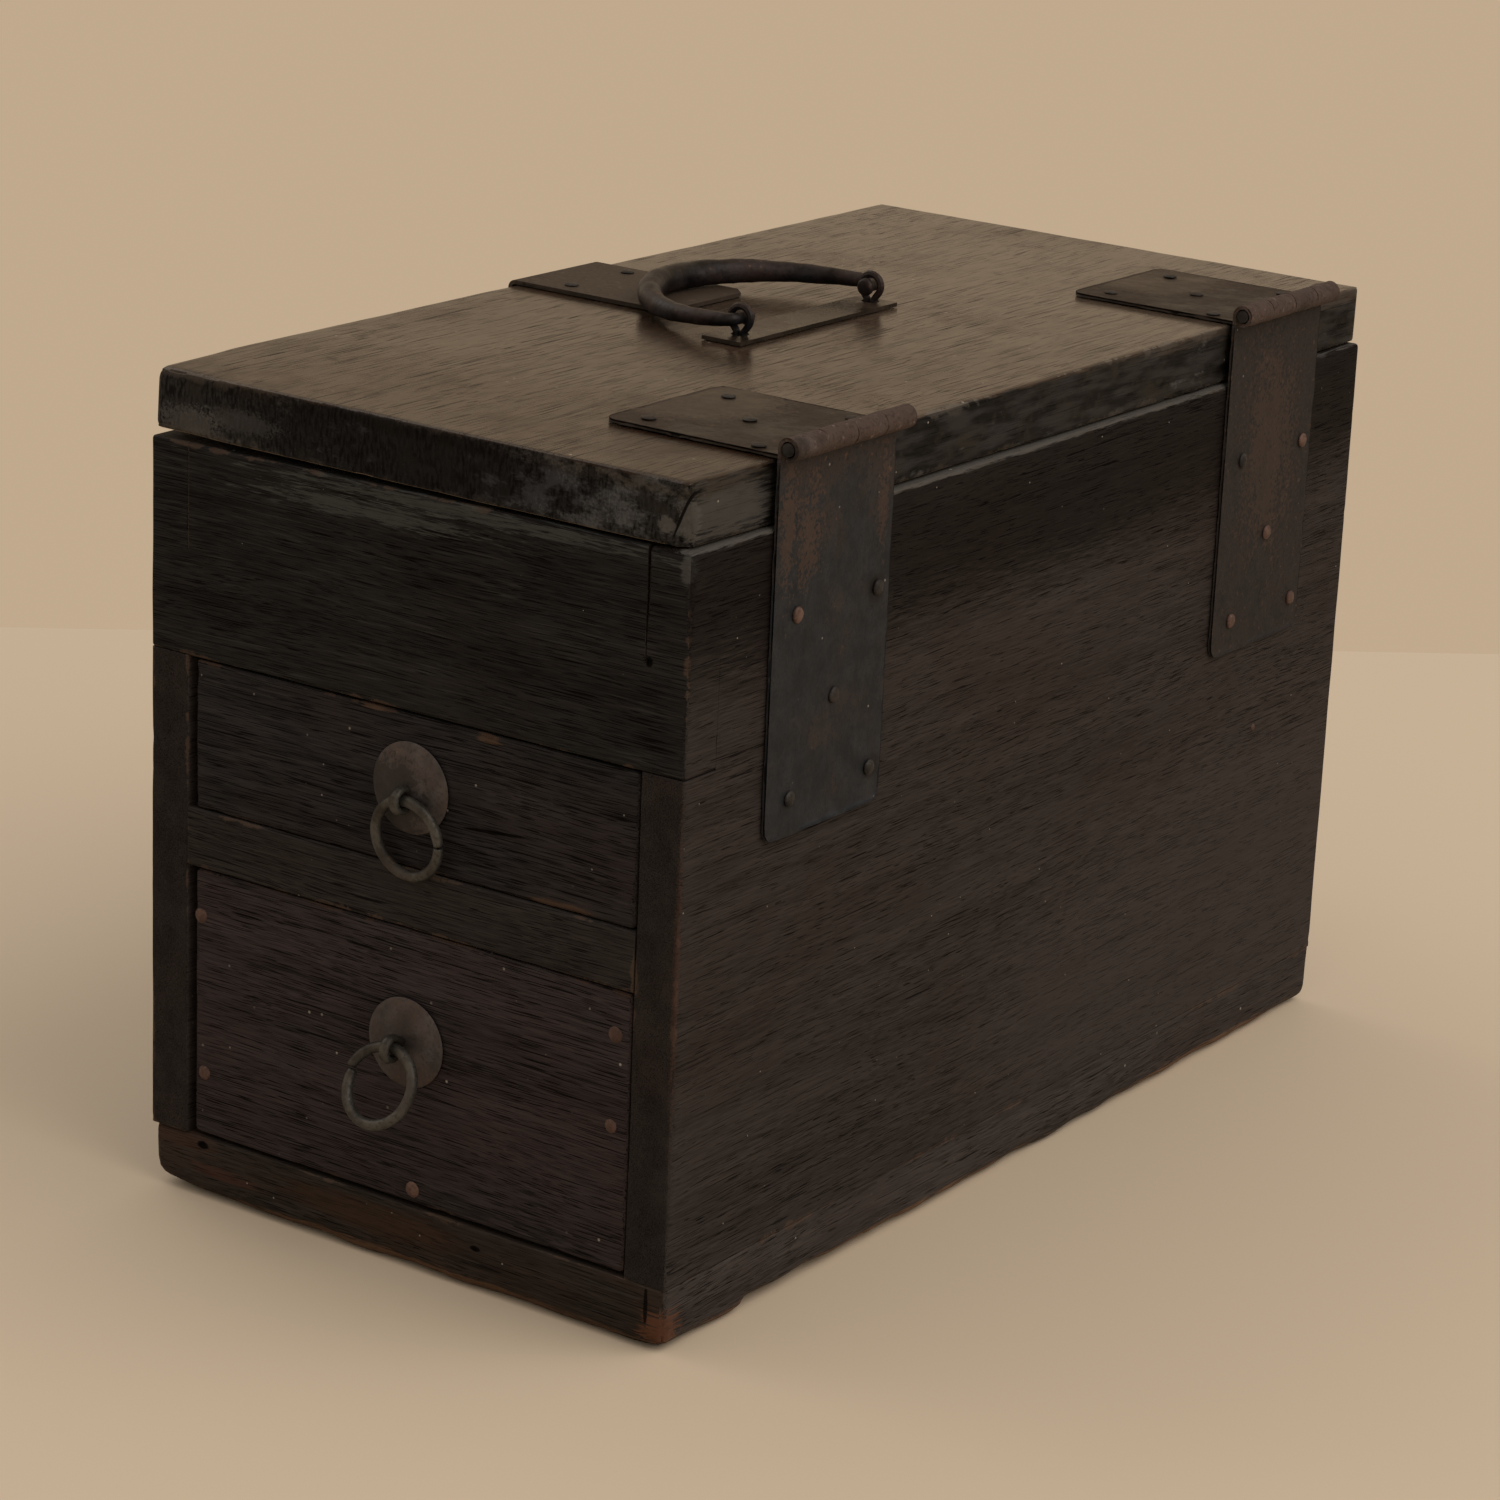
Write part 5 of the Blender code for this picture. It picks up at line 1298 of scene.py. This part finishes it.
for prefix, bright in brightNails.items():
    nodes = {index: prefix + "_strap_nail_" + str(index) for index in range(1, 6)}
    shiny = [node for index, node in nodes.items() if index in bright]
    dull = [node for index, node in nodes.items() if index not in bright]
    makeHeads(prefix + "CopperNails", shiny, 0, irons["copper"], "carcass")
    makeHeads(prefix + "DarkNails", dull, 0, irons["darkNail"], "carcass")
    leafNails = [prefix + "_leaf_nail_" + str(index) for index in range(1, 6)]
    makeHeads(prefix + "LeafNails", leafNails, 2, irons["darkNail"], "lid")
makeHeads("haspLeafNails", ["hasp_leaf_nail_1", "hasp_leaf_nail_2"], 2, irons["darkNail"], "lid")
print("nail heads made")

# handle: a forged bow, thick in its middle, its thin ends turned in through the eyes and headed
handleSettings = {
    "reach": 0.0475, "bend": 0.003, "tip": 0.0290, "start": 0.0352, "lead": 0.001,
    "middle": 0.0040, "end": 0.0017, "neck": 0.0003, "taper": 1.3, "bow": 0.92,
    "head": ((0.0, 0.00175), (0.0006, 0.0025), (0.0018, 0.0025), (0.0025, 0.0017)),  # past the tip, radius
    "bendSteps": 6, "bowSteps": 32, "sides": 22, "rough": 0.09,
    "sag": 0.0014, "sagFrom": 0.012, "sagOver": 0.018, "sagReach": 0.022,
}


# one half of the bow as reach from the pivot, place along it and radius
def halfBail(settings):
    start, bend, end = settings["start"], settings["bend"], settings["end"]
    half = [(0.0, settings["tip"] + past, radius) for past, radius in settings["head"]]
    half += [(0.0, start - settings["lead"], end), (0.0, start, end)]
    for step in range(1, settings["bendSteps"]):
        share = step / settings["bendSteps"]
        angle = math.pi / 2 * share
        half.append((bend * (1 - math.cos(angle)), start + bend * math.sin(angle), end + settings["neck"] * share))
    thin = end + settings["neck"]
    for step in range(settings["bowSteps"] + 1):
        angle = math.pi / 2 * step / settings["bowSteps"]
        reach = bend + (settings["reach"] - bend) * math.sin(angle)
        thick = thin + (settings["middle"] - thin) * (reach / settings["reach"]) ** settings["taper"]
        half.append((reach, (start + bend) * math.cos(angle) ** settings["bow"], thick))
    return half


def makeBail(settings):
    pivot = Vector(joints["handle_swing"]["pos_m"])
    half = halfBail(settings)
    path, radii = [], []
    for reach, along, thick in [(reach, -along, thick) for reach, along, thick in half[:-1]] + half[::-1]:
        lean = min(1.0, max(0.0, (-along - settings["sagFrom"]) / settings["sagOver"]))
        lean *= min(1.0, reach / settings["sagReach"])
        path.append(pivot + Vector((-reach, along, -settings["sag"] * lean)))
        radii.append(thick)
    bm = bmesh.new()
    sweepWire(bm, path, radii, settings["sides"], settings["rough"])
    finishPiece("handleBail", bm, irons["bail"], "handle", ["handle_bail"])


makeBail(handleSettings)
print("handle made")

eyeWidening = 1.45


# eyes of the pulls are bent from flat strip: a copy of the loop, widened where it stands out
def makePullEye(prefix):
    node = prefix + "_pull_eye"
    bm = bmesh.new()
    bm.from_mesh(frame["nodes"][node].data)
    bmesh.ops.remove_doubles(bm, verts=bm.verts[:], dist=tiny)
    low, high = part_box(node)
    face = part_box(prefix + "_pull_plate")[0].y
    middle = (low.x + high.x) / 2
    for vert in bm.verts:
        if vert.co.y < face:
            vert.co.x = middle + (vert.co.x - middle) * eyeWidening
    finishPiece(prefix + "PullEye", bm, irons["ring"], prefix + "_drawer", [node])


for prefix in ("upper", "lower"):
    makePullEye(prefix)

# nails seen only as heads, which hold the drawer front and the shelf; place and radius in millimetres
looseNails = {
    "lowerDrawerNails": ("lower_drawer", 1, (
        (-71.8, -175.7, 84, 2.3), (-70.5, -175.7, 37.8, 2.2), (71.0, -175.7, 85.2, 2.4), (70.4, -175.7, 59.7, 2.0),
        (4.7, -175.7, 23.5, 2.4),
    )),
    "shelfNail": ("carcass", 0, ((89.6, 125.5, 104.0, 1.2),)),
}
for name, (body, axis, places) in looseNails.items():
    bm = bmesh.new()
    for x, y, z, radius in places:
        addHead(bm, Vector(onBox(x, y, z)), radius / 1000, axis)
    finishPiece(name, bm, irons["copper"], body, ())
print("eyes and loose nails made")

# finishes for the carried-over solids, by the ends of their names
carriedWood = ("compartment_floor", "_left_side", "_right_side", "_bottom", "_drawer_back")
carriedIron = {
    "handle_plate": "plate", "_handle_eye": "bail", "_hinge_pin": "darkNail",
    "hasp_leaf": "leaf", "hasp_flap": "strap", "hasp_staple": "strap", "hasp_pin": "strap",
}
for index, (node, target) in enumerate(frame["nodes"].items()):
    looks = [look for ending, look in carriedIron.items() if node.endswith(ending)]
    if node.endswith(carriedWood):
        grain = "X" if node.endswith("_back") else "Y"
        finish = makeWood(node + "Wood", grain, 20.0 + index, *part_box(node), innerWood)
    elif looks:
        finish = irons[looks[0]]
    else:
        continue
    target.data.materials.clear()
    target.data.materials.append(finish)
print("carried-over solids finished")

# light and stage: two large soft lights, a weak warm world, a plain pale floor
stageSettings = {
    "floor": (0.56, 0.44, 0.31), "floorRoughness": 0.75, "floorSpecular": 0.2,
    "backdrop": (0.53, 0.40, 0.27), "glow": 1.0, "fillColor": (1.0, 0.972, 0.945), "fill": 0.62,
    "wall": (-0.283, 0.407), "along": (0.770, 0.639), "depth": 6.0,
}
lampSettings = {
    "keyLight": {"place": (1.75, 0.25, 1.95), "size": (2.6, 2.2), "power": 38.0},
    "leftLight": {"place": (-1.7, -0.1, 1.7), "size": (2.0, 2.0), "power": 11.0},
    "aim": (0.0, 0.0, 0.10), "color": (1.0, 0.975, 0.95),
}


def makeLamp(name):
    settings = {**lampSettings, **lampSettings[name]}
    data = bpy.data.lights.new(name, "AREA")
    data.shape = "RECTANGLE"
    data.size, data.size_y = settings["size"]
    data.energy = settings["power"]
    data.color = settings["color"]
    lamp = bpy.data.objects.new(name, data)
    lamp.location = settings["place"]
    aim = Vector(settings["aim"]) - Vector(settings["place"])
    lamp.rotation_euler = aim.to_track_quat("-Z", "Y").to_euler()
    scene.collection.objects.link(lamp)


# the backdrop's colour is what the camera and reflections see; the fill only lights
def makeWorld(settings):
    world = bpy.data.worlds.new("softRoom")
    world.use_nodes = True
    tree = world.node_tree
    fill = tree.nodes["Background"]
    shown = tree.nodes.new("ShaderNodeBackground")
    for node, color, strength in ((fill, "fillColor", "fill"), (shown, "backdrop", "glow")):
        node.inputs["Color"].default_value = (*settings[color], 1.0)
        node.inputs["Strength"].default_value = settings[strength]
    rays = tree.nodes.new("ShaderNodeLightPath").outputs
    seen = computed(tree, "MAXIMUM", rays["Is Camera Ray"], rays["Is Glossy Ray"])
    seen = computed(tree, "MAXIMUM", seen, rays["Is Transmission Ray"])
    mix = tree.nodes.new("ShaderNodeMixShader")
    for socket, source in zip(mix.inputs, (seen, fill.outputs[0], shown.outputs[0])):
        tree.links.new(source, socket)
    tree.links.new(mix.outputs[0], tree.nodes["World Output"].inputs["Surface"])
    scene.world = world


# the floor ends in a straight line behind the box, where the plain backdrop begins
def makeFloor(settings):
    bm = bmesh.new()
    bmesh.ops.create_grid(bm, x_segments=8, y_segments=8, size=settings["depth"] / 2)
    along = Vector((*settings["along"], 0.0)).normalized()
    away = Vector((-along.y, along.x, 0.0))
    turn = Matrix((along, away, Vector((0, 0, 1)))).transposed().to_4x4()
    turn.translation = Vector((*settings["wall"], 0.0)) - away * (settings["depth"] / 2)
    bmesh.ops.transform(bm, matrix=turn, verts=bm.verts[:])
    mesh = bpy.data.meshes.new("floor")
    bm.to_mesh(mesh)
    bm.free()
    floor = bpy.data.objects.new("floor", mesh)
    scene.collection.objects.link(floor)
    material, _, shader, _ = startMaterial("paleFloor")
    shader.inputs["Base Color"].default_value = (*settings["floor"], 1.0)
    shader.inputs["Roughness"].default_value = settings["floorRoughness"]
    shader.inputs["Specular IOR Level"].default_value = settings["floorSpecular"]
    mesh.materials.append(material)


makeLamp("keyLight")
makeLamp("leftLight")
makeWorld(stageSettings)
makeFloor(stageSettings)
print("stage lit")
